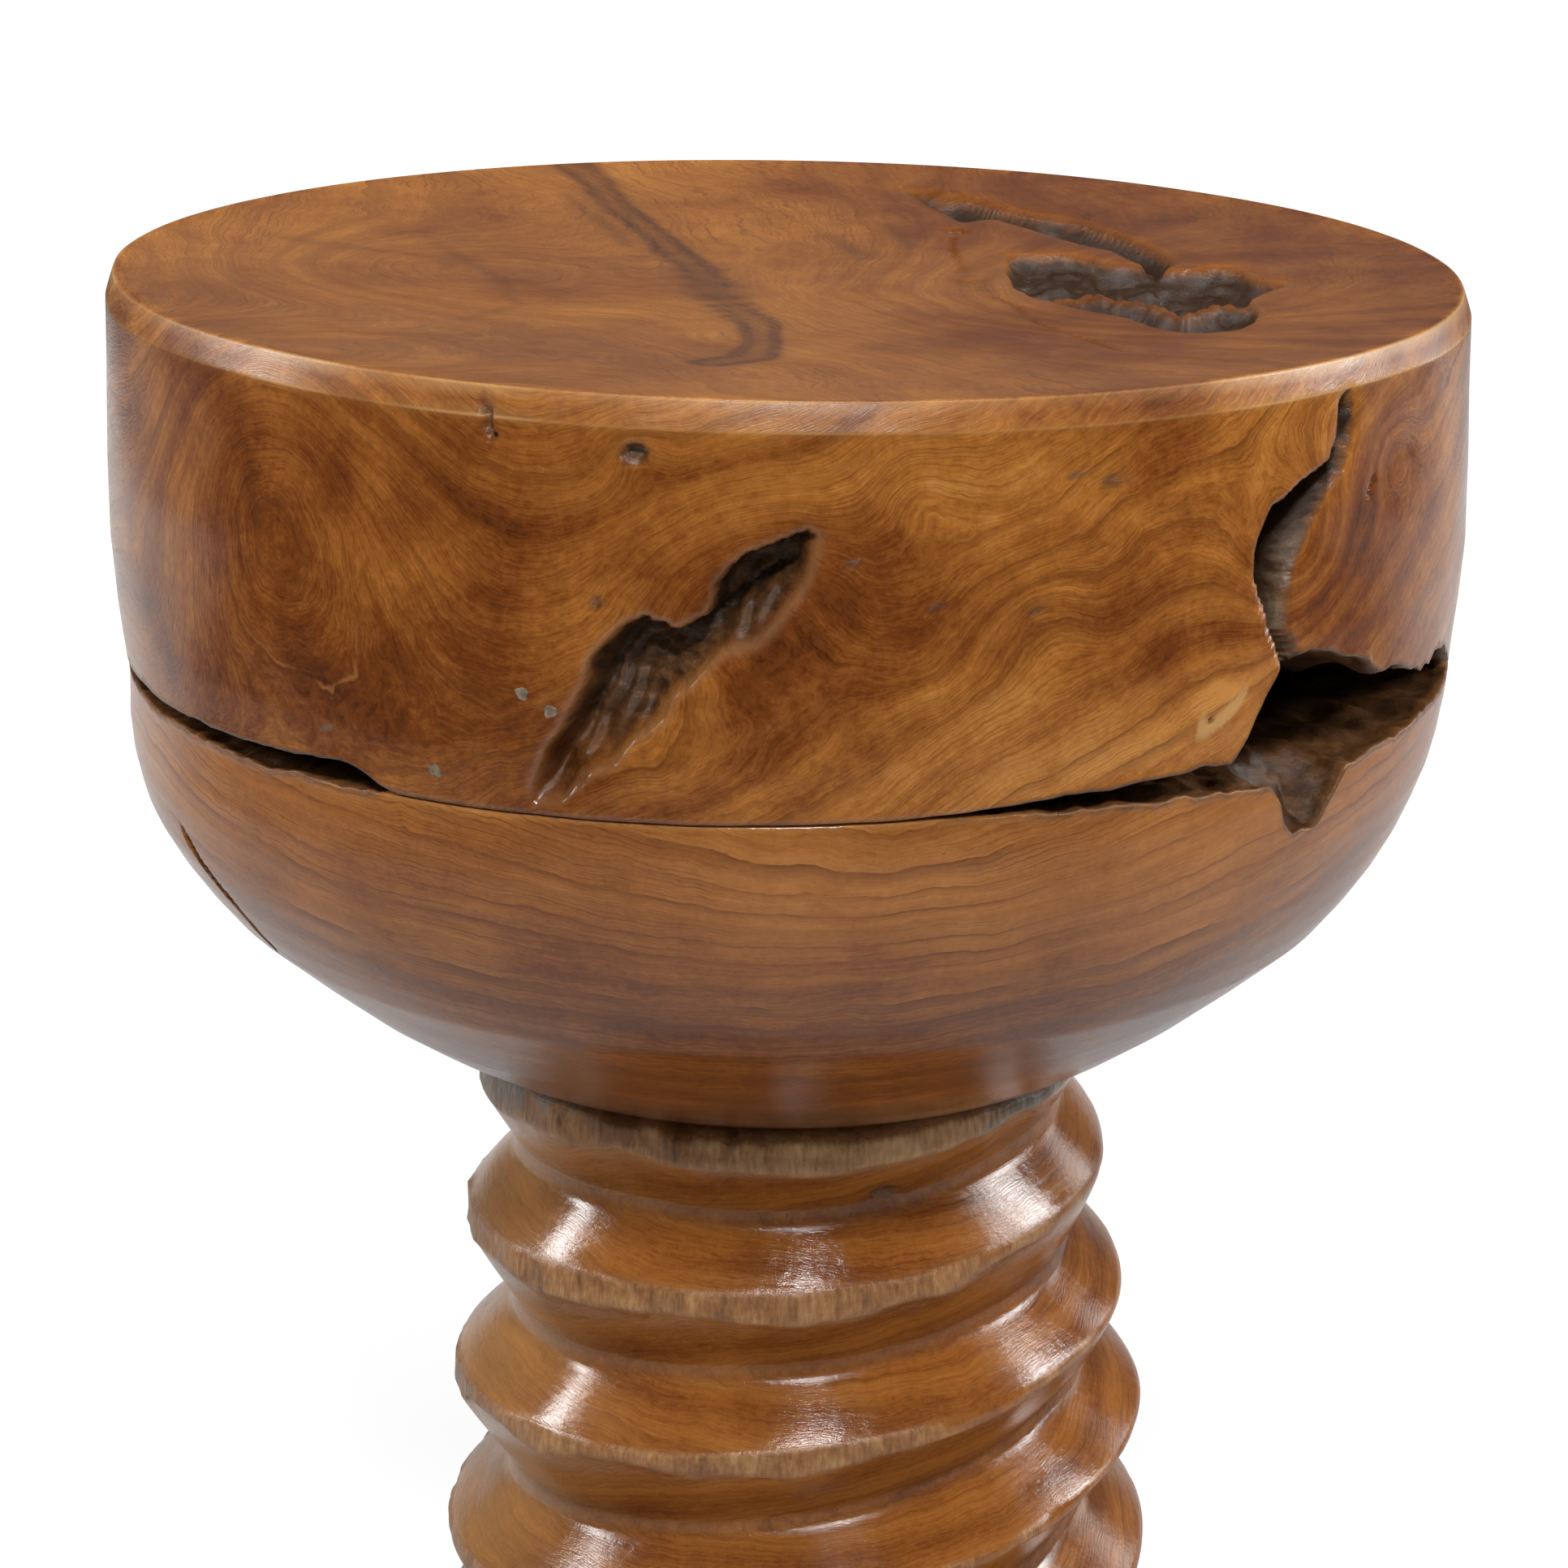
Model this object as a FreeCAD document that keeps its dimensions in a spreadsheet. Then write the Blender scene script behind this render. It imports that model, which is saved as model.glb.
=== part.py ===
import FreeCAD, Part
import math
import os

import Sketcher

# Live edge side table: a dished root-wood slab on a turned bowl on a column carved as a screw.
# The floor is z = 0, the axis of the column is Z, and the front is the side facing -Y.
# Angles run round the axis from the front, positive towards +X. A rise is measured up from the sawn seam.

doc = FreeCAD.newDocument("live_edge_side_table")

# Driving dimensions in millimetres and degrees
SIZES = [
    ("overall_height", 560, "floor to the crest of the rim"),
    ("slab_thickness", 120, "rim crest to the sawn seam"),
    ("bowl_depth", 136, "sawn seam to the flat under the bowl"),
    ("head_radius", 215.5, "slab wall and bowl where they meet at the seam"),
    ("slab_swell", 3, "how far the slab wall swells beyond the seam"),
    ("swell_rise", 40, "seam up to the widest line of the wall"),
    ("rim_bevel_width", 4, "radial width of the worn bevel round the rim"),
    ("rim_bevel_drop", 8, "height of that bevel"),
    ("dish_depth", 10, "hollow of the top below the rim crest"),
    ("dish_floor_radius", 120, "level middle of that hollow"),
    ("bowl_shoulder_radius", 107, "curve of the bowl, upright at the seam"),
    ("bowl_foot_radius", 112, "flat under the bowl that stands on the column"),
    ("column_top_radius", 103, "bark face of the log at the bowl"),
    ("column_foot_radius", 136, "bark face of the log at the floor"),
    ("thread_pitch", 54, "rise of the carved thread in one turn"),
    ("thread_depth", 19, "bark face to the root of the groove"),
    ("crest_band", 9, "height of the bark left on the crest"),
    ("root_drop", 30, "middle of a crest down to the root below it"),
    ("root_width", 5, "width of the gouge line at the root"),
    ("upper_swell", 2.5, "how far the flank above a crest swells"),
    ("first_crest_drop", 8, "column top down to the first crest at the front"),
    ("tenon_diameter", 54, "loose tenon between bowl and column"),
    ("tenon_in_bowl", 56, "length of the tenon in the bowl"),
    ("tenon_in_column", 62, "length of the tenon in the column"),
    ("screw_diameter", 10, "shank of a coach screw"),
    ("screw_length", 130, "coach screw under its head"),
    ("screw_point", 12, "length of the screw's tapered point"),
    ("screw_head_across", 17, "hexagon across its flats"),
    ("screw_head_height", 7, "thickness of the hexagon"),
    ("screw_circle_radius", 62, "screws from the axis"),
    ("counterbore_diameter", 36, "pocket that hides the screw head"),
    ("counterbore_depth", 60, "depth of that pocket below the seam"),
    ("dowel_diameter", 24, "dowel between slab and bowl"),
    ("dowel_length", 100, "half of it stands in each block"),
    ("dowel_circle_radius", 110, "dowels from the axis"),
    ("fit_clearance", 0.2, "hole over pin, on the diameter"),
    ("end_room", 1, "empty end of a blind hole"),
]

# Natural voids met on the wall, each a pointed leaf: angle, rise, half length, half width, depth, lean
SLAB_VOIDS = {
    "front_void_low": (-12, 32, 40, 14, 14, 45),
    "front_void_low_floor": (-12.5, 31, 30, 8, 34, 47),
    "front_void_high": (-1.6, 68, 26, 10, 10, 45),
    "front_void_high_floor": (-2, 67, 20, 5, 24, 45),
    "fissure": (41, 62, 48, 5, 60, 67),
    "left_gap": (-52, 0, 85, 8, 55, 0),
    "right_lip": (29, 0, 48, 8, 55, 0),
    "right_mouth": (47, 0, 39, 34, 70, 90),
    "right_tail": (61, 0, 60, 19, 72, 0),
}
BOWL_VOIDS = {
    "bowl_notch": (45.5, 0, 23, 15, 28, 90),
    "bowl_slit": (-66, -62, 24, 1.5, 24, 90),
}
WALL_VOID_FIELDS = ("angle", "rise", "half_length", "half_width", "depth", "lean")

# Natural voids met on the top, leaves too: place to the right and back, half length, half width, depth, turn
TOP_VOIDS = {
    "burl_void": (105, -5, 66, 32, 12, -60),
    "burl_void_floor": (104, -8, 48, 18, 24, -56),
    "burl_groove": (86, 112, 86, 9, 14, -61),
}
TOP_VOID_FIELDS = ("right", "back", "half_length", "half_width", "depth", "turn")

SHOULDER_BANDS = 5
THREAD_FLATS = 36
SCREW_COUNT = 3
DOWEL_COUNT = 4
DOWEL_FIRST_ANGLE = 45

# Heights and radii that follow from the driving dimensions
SEAM = "(sizes.overall_height - sizes.slab_thickness)"
COLUMN_TOP = "(sizes.overall_height - sizes.slab_thickness - sizes.bowl_depth)"
WALL_RADIUS = "(sizes.head_radius + sizes.slab_swell)"
COUNTERBORE_FLOOR = f"({SEAM} - sizes.counterbore_depth)"
SHOULDER_CENTRE = "(sizes.head_radius - sizes.bowl_shoulder_radius)"


def add_sheet():
    """Put every driving dimension into one sheet, each under its own name."""
    rows = list(SIZES)
    tables = (
        (SLAB_VOIDS, WALL_VOID_FIELDS),
        (BOWL_VOIDS, WALL_VOID_FIELDS),
        (TOP_VOIDS, TOP_VOID_FIELDS),
    )
    for table, fields in tables:
        for name, values in table.items():
            for field, value in zip(fields, values):
                rows.append((f"{name}_{field}", value, f"{name}: {field}"))
    sheet = doc.addObject("Spreadsheet::Sheet", "sizes")
    for row, (name, value, note) in enumerate(rows, start=1):
        sheet.set(f"A{row}", note)
        sheet.set(f"B{row}", str(value))
        sheet.setAlias(f"B{row}", name)
    doc.recompute()
    return sheet


sheet = add_sheet()


def bind(thing, **expressions):
    """Tie properties of a document object to the sheet."""
    for name, expression in expressions.items():
        thing.setExpression(name, expression)
    return thing


def place(thing, x="0", y="0", z="0", turn="rotation(vector(0; 0; 1); 0)"):
    thing.setExpression("Placement", f"placement(vector({x}; {y}; {z}); {turn})")
    return thing


def new_body(name):
    return doc.addObject("PartDesign::Body", name)


def new_sketch(body, name, role):
    """A sketch on one of the body's own origin planes."""
    plane = next(item for item in body.Origin.OriginFeatures if item.Role == role)
    sketch = body.newObject("Sketcher::SketchObject", name)
    sketch.AttachmentSupport = [(plane, "")]
    sketch.MapMode = "FlatFace"
    return sketch


def value(expression):
    """Today's number for an expression, used only to draw a sketch near its solution."""
    probe = doc.addObject("App::FeaturePython", "probe")
    probe.addProperty("App::PropertyFloat", "number")
    probe.setExpression("number", expression)
    doc.recompute()
    number = probe.number
    doc.removeObject(probe.Name)
    return number


def pin_point(sketch, geometry, vertex, x, y):
    """Fix a sketch point at two sheet expressions, measured from the origin."""
    for kind, expression in (("DistanceX", x), ("DistanceY", y)):
        index = sketch.addConstraint(Sketcher.Constraint(kind, -1, 1, geometry, vertex, value(expression)))
        sketch.setExpression(f"Constraints[{index}]", expression)


def pin_radius(sketch, geometry, expression):
    index = sketch.addConstraint(Sketcher.Constraint("Radius", geometry, value(expression)))
    sketch.setExpression(f"Constraints[{index}]", expression)


def line(start, end):
    return Part.LineSegment(FreeCAD.Vector(*start, 0), FreeCAD.Vector(*end, 0))


def arc(start, middle, end):
    return Part.Arc(FreeCAD.Vector(*start, 0), FreeCAD.Vector(*middle, 0), FreeCAD.Vector(*end, 0))


def outline(sketch, corners):
    """A closed outline of straight lines between corners, each given as two sheet expressions."""
    points = [(value(x), value(y)) for x, y in corners]
    count = len(points)
    for index in range(count):
        sketch.addGeometry(line(points[index], points[(index + 1) % count]))
    for index in range(count):
        sketch.addConstraint(Sketcher.Constraint("Coincident", index, 2, (index + 1) % count, 1))
    for index, (x, y) in enumerate(corners):
        pin_point(sketch, index, 1, x, y)


def turned_profile(name, corners):
    """A turned part from the corners of its half section, as (radius, height) expressions."""
    body = new_body(name)
    sketch = new_sketch(body, name + "_profile", "XZ_Plane")
    outline(sketch, corners)
    turned = body.newObject("PartDesign::Revolution", name + "_turned")
    turned.Profile = sketch
    turned.ReferenceAxis = (sketch, ["V_Axis"])
    turned.Angle = 360
    return body


def slab_blank():
    """The turned slab: sawn flat below, swelling wall, bevelled rim and a shallow dish on top."""
    top = "sizes.overall_height"
    dish_floor = "sizes.overall_height - sizes.dish_depth"
    return turned_profile(
        "slab_blank",
        [
            ("0", SEAM),
            ("sizes.head_radius", SEAM),
            (WALL_RADIUS, f"{SEAM} + sizes.swell_rise"),
            ("sizes.head_radius", f"{top} - sizes.rim_bevel_drop"),
            ("sizes.head_radius - sizes.rim_bevel_width", top),
            ("sizes.dish_floor_radius", dish_floor),
            ("0", dish_floor),
        ],
    )


def leaf(name, half_length, half_width, depth, role):
    """A cutter of pointed leaf outline, two equal arcs, reaching its depth both ways from its own plane."""
    body = new_body(name)
    sketch = new_sketch(body, name + "_outline", role)
    long, wide = value(half_length), value(half_width)
    sketch.addGeometry(arc((long, 0), (0, wide), (-long, 0)))
    sketch.addGeometry(arc((-long, 0), (0, -wide), (long, 0)))
    sketch.addConstraint(Sketcher.Constraint("Coincident", 0, 2, 1, 1))
    sketch.addConstraint(Sketcher.Constraint("Coincident", 1, 2, 0, 1))
    pin_point(sketch, 0, 1, half_length, "0")
    pin_point(sketch, 0, 2, f"-{half_length}", "0")
    for side in range(2):
        pin_radius(sketch, side, f"({half_length}^2 + {half_width}^2) / (2 * {half_width})")
    pad = body.newObject("PartDesign::Pad", name + "_depth")
    pad.Profile = sketch
    pad.SideType = "Symmetric"
    bind(pad, Length=f"2 * {depth}")
    return body


def wall_void(name, radius):
    """An eroded pocket met on the wall: its leaf lies along the wall and it runs in towards the axis."""
    size = f"sizes.{name}_"
    void = leaf(name, size + "half_length", size + "half_width", size + "depth", "XZ_Plane")
    around = f"rotation(vector(0; 0; 1); {size}angle)"
    tipped = f"rotation(vector(0; 1; 0); -{size}lean)"
    x = f"{radius} * sin({size}angle)"
    y = f"-{radius} * cos({size}angle)"
    return place(void, x, y, f"{SEAM} + {size}rise", f"{around} * {tipped}")


def top_void(name):
    """An eroded pocket met on the dished top."""
    size = f"sizes.{name}_"
    void = leaf(name, size + "half_length", size + "half_width", size + "depth", "XY_Plane")
    turned = f"rotation(vector(0; 0; 1); {size}turn)"
    return place(void, size + "right", size + "back", "sizes.overall_height - sizes.dish_depth", turned)


def cylinder(name, diameter, length, x="0", y="0", z="0", turn="rotation(vector(0; 0; 1); 0)"):
    drilled = doc.addObject("Part::Cylinder", name)
    bind(drilled, Radius=f"({diameter}) / 2", Height=length)
    return place(drilled, x, y, z, turn)


def carve(name, blank, cutters):
    """A finished piece: its blank with every void and drilled hole taken out."""
    waste = doc.addObject("Part::MultiFuse", name + "_waste")
    waste.Shapes = cutters
    piece = doc.addObject("Part::Cut", name)
    piece.Base = blank
    piece.Tool = waste
    piece.Label = name
    return piece


def group(name, pieces):
    """Identical small parts kept together, each its own solid."""
    together = doc.addObject("Part::Compound", name)
    together.Links = pieces
    together.Label = name
    return together


def on_circle(radius, count, index, first=0):
    """Place of one of several parts spaced evenly round the axis, counted from the front."""
    angle = first + 360 * index / count
    return f"{radius} * sin({angle})", f"-{radius} * cos({angle})"


def dowel_places():
    for index in range(DOWEL_COUNT):
        yield on_circle("sizes.dowel_circle_radius", DOWEL_COUNT, index, DOWEL_FIRST_ANGLE)


def screw_places():
    for index in range(SCREW_COUNT):
        yield on_circle("sizes.screw_circle_radius", SCREW_COUNT, index)


def dowel_holes(owner):
    """Blind holes of half a dowel and some end room, both ways from the seam."""
    bore = "sizes.dowel_diameter + sizes.fit_clearance"
    length = "sizes.dowel_length + 2 * sizes.end_room"
    for index, (x, y) in enumerate(dowel_places()):
        yield cylinder(f"{owner}_dowel_hole_{index}", bore, length, x, y, f"{SEAM} - ({length}) / 2")


def make_top_slab():
    cutters = [wall_void(name, WALL_RADIUS) for name in SLAB_VOIDS]
    cutters += [top_void(name) for name in TOP_VOIDS]
    cutters += dowel_holes("slab")
    return carve("top_slab", slab_blank(), cutters)


def bowl_blank():
    """The turned bowl: flat sawn top, a round shoulder that runs straight into the belly, flat underneath.

    The belly is the tangent from the edge of the flat to the shoulder, which is turned in narrow bands.
    """
    reach = f"(sizes.bowl_foot_radius - {SHOULDER_CENTRE})"
    span = f"sqrt({reach}^2 + sizes.bowl_depth^2)"
    turn_in = f"(atan2(sizes.bowl_depth; {reach}) - acos(sizes.bowl_shoulder_radius / {span}))"
    corners = [("0", COLUMN_TOP), ("0", SEAM)]
    for band in range(SHOULDER_BANDS + 1):
        angle = f"({turn_in} * {band} / {SHOULDER_BANDS})"
        radius = f"{SHOULDER_CENTRE} + sizes.bowl_shoulder_radius * cos({angle})"
        height = f"{SEAM} - sizes.bowl_shoulder_radius * sin({angle})"
        corners.append((radius, height))
    corners.append(("sizes.bowl_foot_radius", COLUMN_TOP))
    return turned_profile("bowl_blank", corners)


def make_bowl():
    shoulder = "sizes.bowl_shoulder_radius"
    slit_radius = f"({SHOULDER_CENTRE} + sqrt({shoulder}^2 - sizes.bowl_slit_rise^2))"
    cutters = [
        wall_void("bowl_notch", "sizes.head_radius"),
        wall_void("bowl_slit", slit_radius),
        cylinder(
            "bowl_mortise",
            "sizes.tenon_diameter + sizes.fit_clearance",
            "sizes.tenon_in_bowl + sizes.end_room",
            z=COLUMN_TOP,
        ),
    ]
    for index, (x, y) in enumerate(screw_places()):
        cutters.append(
            cylinder(
                f"counterbore_{index}",
                "sizes.counterbore_diameter",
                "sizes.counterbore_depth",
                x,
                y,
                COUNTERBORE_FLOOR,
            )
        )
        shank = "sizes.screw_diameter + sizes.fit_clearance"
        cutters.append(cylinder(f"screw_way_{index}", shank, "sizes.bowl_depth", x, y, COLUMN_TOP))
    cutters += dowel_holes("bowl")
    return carve("bowl", bowl_blank(), cutters)


def threaded_log():
    """The log carved as a one-start right-hand screw, its bark left on the crest, sawn flat at both ends.

    The carver's flats run round the log, so many to the turn, each of them two facets between two corners.
    """
    height = value(COLUMN_TOP)
    pitch = sheet.thread_pitch
    depth = sheet.thread_depth
    half_band = sheet.crest_band / 2
    half_root = sheet.root_width / 2
    root_top = half_root - sheet.root_drop
    root_foot = -half_root - sheet.root_drop
    # Corners of one thread: height above the middle of its crest, and depth below the bark
    corners = [
        (half_band, 0),
        (-half_band, 0),
        (root_top, depth),
        (root_foot, depth),
        ((root_foot + half_band - pitch) / 2, depth / 2 - sheet.upper_swell),
        (half_band - pitch, 0),
    ]
    last = len(corners) - 1
    # The blank runs past both saw cuts by more than a turn
    turns = math.ceil(height / pitch) + 3
    top_crest = height - sheet.first_crest_drop + pitch / 4
    low_crest = top_crest - (turns - 1) * pitch

    def point(corner, flat):
        """A corner of the thread, counted in flats from the lowest crest on the +X side."""
        rise, inset = corners[corner]
        z = low_crest + pitch * flat / THREAD_FLATS + rise
        taper = (sheet.column_foot_radius - sheet.column_top_radius) / height
        radius = sheet.column_foot_radius - taper * z - inset
        angle = math.radians(360 * flat / THREAD_FLATS)
        return FreeCAD.Vector(radius * math.cos(angle), radius * math.sin(angle), z)

    def axis_point(corner, flat):
        return FreeCAD.Vector(0, 0, point(corner, flat).z)

    def facet(*vertices):
        return Part.Face(Part.makePolygon(vertices + vertices[:1]))

    def end_ramp(corner, flat):
        """A step of the ramp that closes the blank beyond the saw cut."""
        start, end = point(corner, flat), point(corner, flat + 1)
        foot, head = axis_point(corner, flat), axis_point(corner, flat + 1)
        return [facet(foot, start, end), facet(foot, end, head)]

    def end_wall(flat):
        """The upright wall between the two ends of that ramp."""
        outline = [point(corner, flat) for corner in range(last + 1)]
        steps = [axis_point(last, flat + step) for step in range(THREAD_FLATS + 1)]
        return facet(*outline, *steps)

    flats = turns * THREAD_FLATS
    faces = [end_wall(0), end_wall(flats)]
    for flat in range(flats):
        for corner in range(last):
            start, end = point(corner, flat), point(corner, flat + 1)
            lower_start, lower_end = point(corner + 1, flat), point(corner + 1, flat + 1)
            faces += [facet(start, end, lower_end), facet(start, lower_end, lower_start)]
    for step in range(THREAD_FLATS):
        faces += end_ramp(last, step)
        faces += end_ramp(0, flats - THREAD_FLATS + step)
    skin = Part.Compound(faces)
    skin.sewShape()
    blank = Part.Solid(skin.Shells[0])
    sawn = Part.makeCylinder(2 * sheet.column_foot_radius, height)
    log = doc.addObject("Part::Feature", "threaded_log")
    log.Shape = blank.common(sawn).Solids[0]
    return log


def make_screw_column():
    mortise_depth = "sizes.tenon_in_column"
    cutters = [
        cylinder(
            "column_mortise",
            "sizes.tenon_diameter + sizes.fit_clearance",
            mortise_depth,
            z=f"{COLUMN_TOP} - {mortise_depth}",
        )
    ]
    pilot_floor = f"({COUNTERBORE_FLOOR} - sizes.screw_length - sizes.end_room)"
    for index, (x, y) in enumerate(screw_places()):
        pilot = "sizes.screw_diameter + sizes.fit_clearance"
        cutters.append(cylinder(f"pilot_{index}", pilot, f"{COLUMN_TOP} - {pilot_floor}", x, y, pilot_floor))
    return carve("screw_column", threaded_log(), cutters)


def make_centre_tenon():
    length = "sizes.tenon_in_bowl + sizes.tenon_in_column"
    foot = f"{COLUMN_TOP} - sizes.tenon_in_column"
    tenon = cylinder("centre_tenon", "sizes.tenon_diameter", length, z=foot)
    tenon.Label = "centre_tenon"
    return tenon


def make_slab_dowels():
    dowels = []
    for index, (x, y) in enumerate(dowel_places()):
        foot = f"{SEAM} - sizes.dowel_length / 2"
        dowels.append(cylinder(f"dowel_{index}", "sizes.dowel_diameter", "sizes.dowel_length", x, y, foot))
    return group("slab_dowels", dowels)


def coach_screw(name):
    """A coach screw hanging from its own origin: shank and point below, hexagon head above."""
    radius = "sizes.screw_diameter / 2"
    shoulder = "-(sizes.screw_length - sizes.screw_point)"
    body = turned_profile(name, [("0", "0"), ("0", "-sizes.screw_length"), (radius, shoulder), (radius, "0")])
    sketch = new_sketch(body, name + "_hexagon", "XY_Plane")
    corner = "(sizes.screw_head_across / sqrt(3))"
    angles = range(0, 360, 60)
    outline(sketch, [(f"{corner} * cos({angle})", f"{corner} * sin({angle})") for angle in angles])
    head = body.newObject("PartDesign::Pad", name + "_head")
    head.Profile = sketch
    bind(head, Length="sizes.screw_head_height")
    return body


def make_column_screws():
    screws = []
    for index, (x, y) in enumerate(screw_places()):
        screws.append(place(coach_screw(f"coach_screw_{index}"), x, y, COUNTERBORE_FLOOR))
    return group("column_screws", screws)


def check(pieces):
    """Stop if anything in the document failed or a piece isn't a sound solid."""
    doc.recompute()
    for thing in doc.Objects:
        if "Invalid" in thing.State or "Error" in thing.State:
            raise RuntimeError(f"{thing.Name} failed: {thing.State}")
    for piece in pieces:
        if piece.Shape.isNull() or not piece.Shape.isValid() or not piece.Shape.Solids:
            raise RuntimeError(f"{piece.Label} is not a sound solid")


pieces = [
    make_top_slab(),
    make_bowl(),
    make_screw_column(),
    make_centre_tenon(),
    make_slab_dowels(),
    make_column_screws(),
]
check(pieces)

os.makedirs("parts", exist_ok=True)
for piece in pieces:
    piece.Shape.exportStep(f"parts/{piece.Label}.step")
    solids = len(piece.Shape.Solids)
    print(f"{piece.Label}: {solids} solid(s), {piece.Shape.Volume / 1000:.1f} cm3")
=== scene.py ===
import math

import bmesh
import bpy
import numpy as np
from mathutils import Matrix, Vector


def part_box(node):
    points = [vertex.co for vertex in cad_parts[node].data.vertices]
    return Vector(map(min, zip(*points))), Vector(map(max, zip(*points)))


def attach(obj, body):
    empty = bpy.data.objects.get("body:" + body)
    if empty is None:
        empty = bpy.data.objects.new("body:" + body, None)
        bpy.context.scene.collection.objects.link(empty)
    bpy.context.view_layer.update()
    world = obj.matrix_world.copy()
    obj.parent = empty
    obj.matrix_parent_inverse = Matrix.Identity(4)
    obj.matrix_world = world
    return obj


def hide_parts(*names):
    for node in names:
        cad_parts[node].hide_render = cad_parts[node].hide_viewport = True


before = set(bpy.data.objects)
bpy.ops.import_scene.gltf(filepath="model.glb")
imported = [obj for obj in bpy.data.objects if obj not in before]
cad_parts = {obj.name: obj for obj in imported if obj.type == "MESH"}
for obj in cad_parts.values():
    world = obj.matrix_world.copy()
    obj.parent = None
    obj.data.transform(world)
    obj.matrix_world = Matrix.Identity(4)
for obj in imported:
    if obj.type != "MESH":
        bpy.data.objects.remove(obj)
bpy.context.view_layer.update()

# Live edge side table, built in millimetres in the CAD's own frame and scaled to metres at the end.
# Angles run round the axis in degrees from the front, which faces -Y, positive to the right.
# Drops go down from the rim.
METRE = 0.001
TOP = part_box("top_slab")[1][2] / METRE
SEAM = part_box("bowl")[1][2] / METRE
COLUMN_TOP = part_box("screw_column")[1][2] / METRE
RIM_RADIUS = 213.0
BEVEL_RADIUS = 215.8
BEVEL_DROP = 8.0
WALL_RADIUS = 216.0
DISH_DEPTH = 10.0
# The rim stands a little higher at the left than at the right
RIM_TILT = -0.016
FINE = 1.0


# Noise and plane geometry


def lattice(ix, iy, iz, seed):
    """A repeatable random number from -1 to 1 for each corner of a grid."""
    mixed = (ix * 73856093) ^ (iy * 19349663) ^ (iz * 83492791) ^ (seed * 40503 + 977)
    mixed = mixed & 0xFFFFFFFF
    mixed = ((mixed ^ (mixed >> 15)) * 739982445) & 0xFFFFFFFF
    mixed = ((mixed ^ (mixed >> 12)) * 695872825) & 0xFFFFFFFF
    return ((mixed ^ (mixed >> 15)) & 0xFFFF) / 32767.5 - 1


def noise(points, size, seed, octaves=1):
    """Smooth noise over points, with features of about the given size in millimetres."""
    total = np.zeros(len(points))
    strength = 1.0
    for octave in range(octaves):
        place = points / size
        cell = np.floor(place).astype(np.int64)
        part = place - cell
        part = part * part * (3 - 2 * part)
        level = np.zeros(len(points))
        for corner in range(8):
            step = np.array([corner & 1, (corner >> 1) & 1, corner >> 2])
            weight = np.where(step == 1, part, 1 - part).prod(axis=1)
            level += weight * lattice(*(cell + step).T, seed + octave)
        total += strength * level
        strength /= 2
        size /= 2
    return total


def smooth(low, high, amount):
    """0 up to low, 1 from high on, and an S curve between."""
    share = np.clip((amount - low) / (high - low), 0, 1)
    return share * share * (3 - 2 * share)


def fade(low, high, amount):
    """1 up to low, 0 from high on, and an S curve between."""
    return 1 - smooth(low, high, amount)


def bell(distance, width):
    """1 at no distance, fading away over about two widths."""
    return np.exp(-((distance / width) ** 2))


def sink(inside, length):
    """0 outside an edge, and nearing 1 a few lengths inside it."""
    return 1 - np.exp(-np.maximum(inside, 0) / length)


def round_over(inside, length):
    """1 inside an edge, fading a few lengths outside it."""
    return np.exp(-np.maximum(-inside, 0) / length)


def path_distance(x, y, path, closed=False):
    """Distance from each point to a line through the given places."""
    ends = path[1:] + path[:1] if closed else path[1:]
    nearest = np.full(len(x), 1e9)
    for (ax, ay), (bx, by) in zip(path, ends):
        dx, dy = bx - ax, by - ay
        share = np.clip(((x - ax) * dx + (y - ay) * dy) / (dx * dx + dy * dy), 0, 1)
        nearest = np.minimum(nearest, np.hypot(x - ax - share * dx, y - ay - share * dy))
    return nearest


def inside_outline(x, y, outline):
    """How far each point lies inside a closed outline, negative outside."""
    within = np.zeros(len(x), bool)
    for (ax, ay), (bx, by) in zip(outline, outline[1:] + outline[:1]):
        crosses = (ay > y) != (by > y)
        within ^= crosses & (x < (bx - ax) * (y - ay) / (by - ay + 1e-12) + ax)
    distance = path_distance(x, y, outline, closed=True)
    return np.where(within, distance, -distance)


def inside_rounded(x, y, outline, radius):
    """Distance inside an outline with rounded corners, so that walls made from it have no creases."""
    turns = np.radians(np.arange(0, 360, 45))
    places = [(x + radius * np.cos(turn), y + radius * np.sin(turn)) for turn in turns]
    return np.mean([inside_outline(right, back, outline) for right, back in places], axis=0)


def table(places, amounts):
    """Look-up by straight lines through measured pairs: place, amount, place, amount and so on."""
    return np.interp(places, amounts[0::2], amounts[1::2])


def angle_of(points):
    return np.degrees(np.arctan2(points[:, 0], -points[:, 1]))


def radius_of(points):
    return np.hypot(points[:, 0], points[:, 1])


def round_axis(angle, radius, height):
    """Points at the given angles round the axis, one in each row."""
    turn = np.radians(angle)
    return np.stack([radius * np.sin(turn), -radius * np.cos(turn), height], axis=1)


def polar(angle, radius, height):
    """One point at an angle round the axis."""
    turn = np.radians(angle)
    return np.array([radius * np.sin(turn), -radius * np.cos(turn), height])


def scale_outwards(points, scale):
    """Move points towards the axis or away from it."""
    points[:, 0] *= scale
    points[:, 1] *= scale


# What was read off the photograph, as (angle, drop) on the walls and (right, back) on the top

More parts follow.
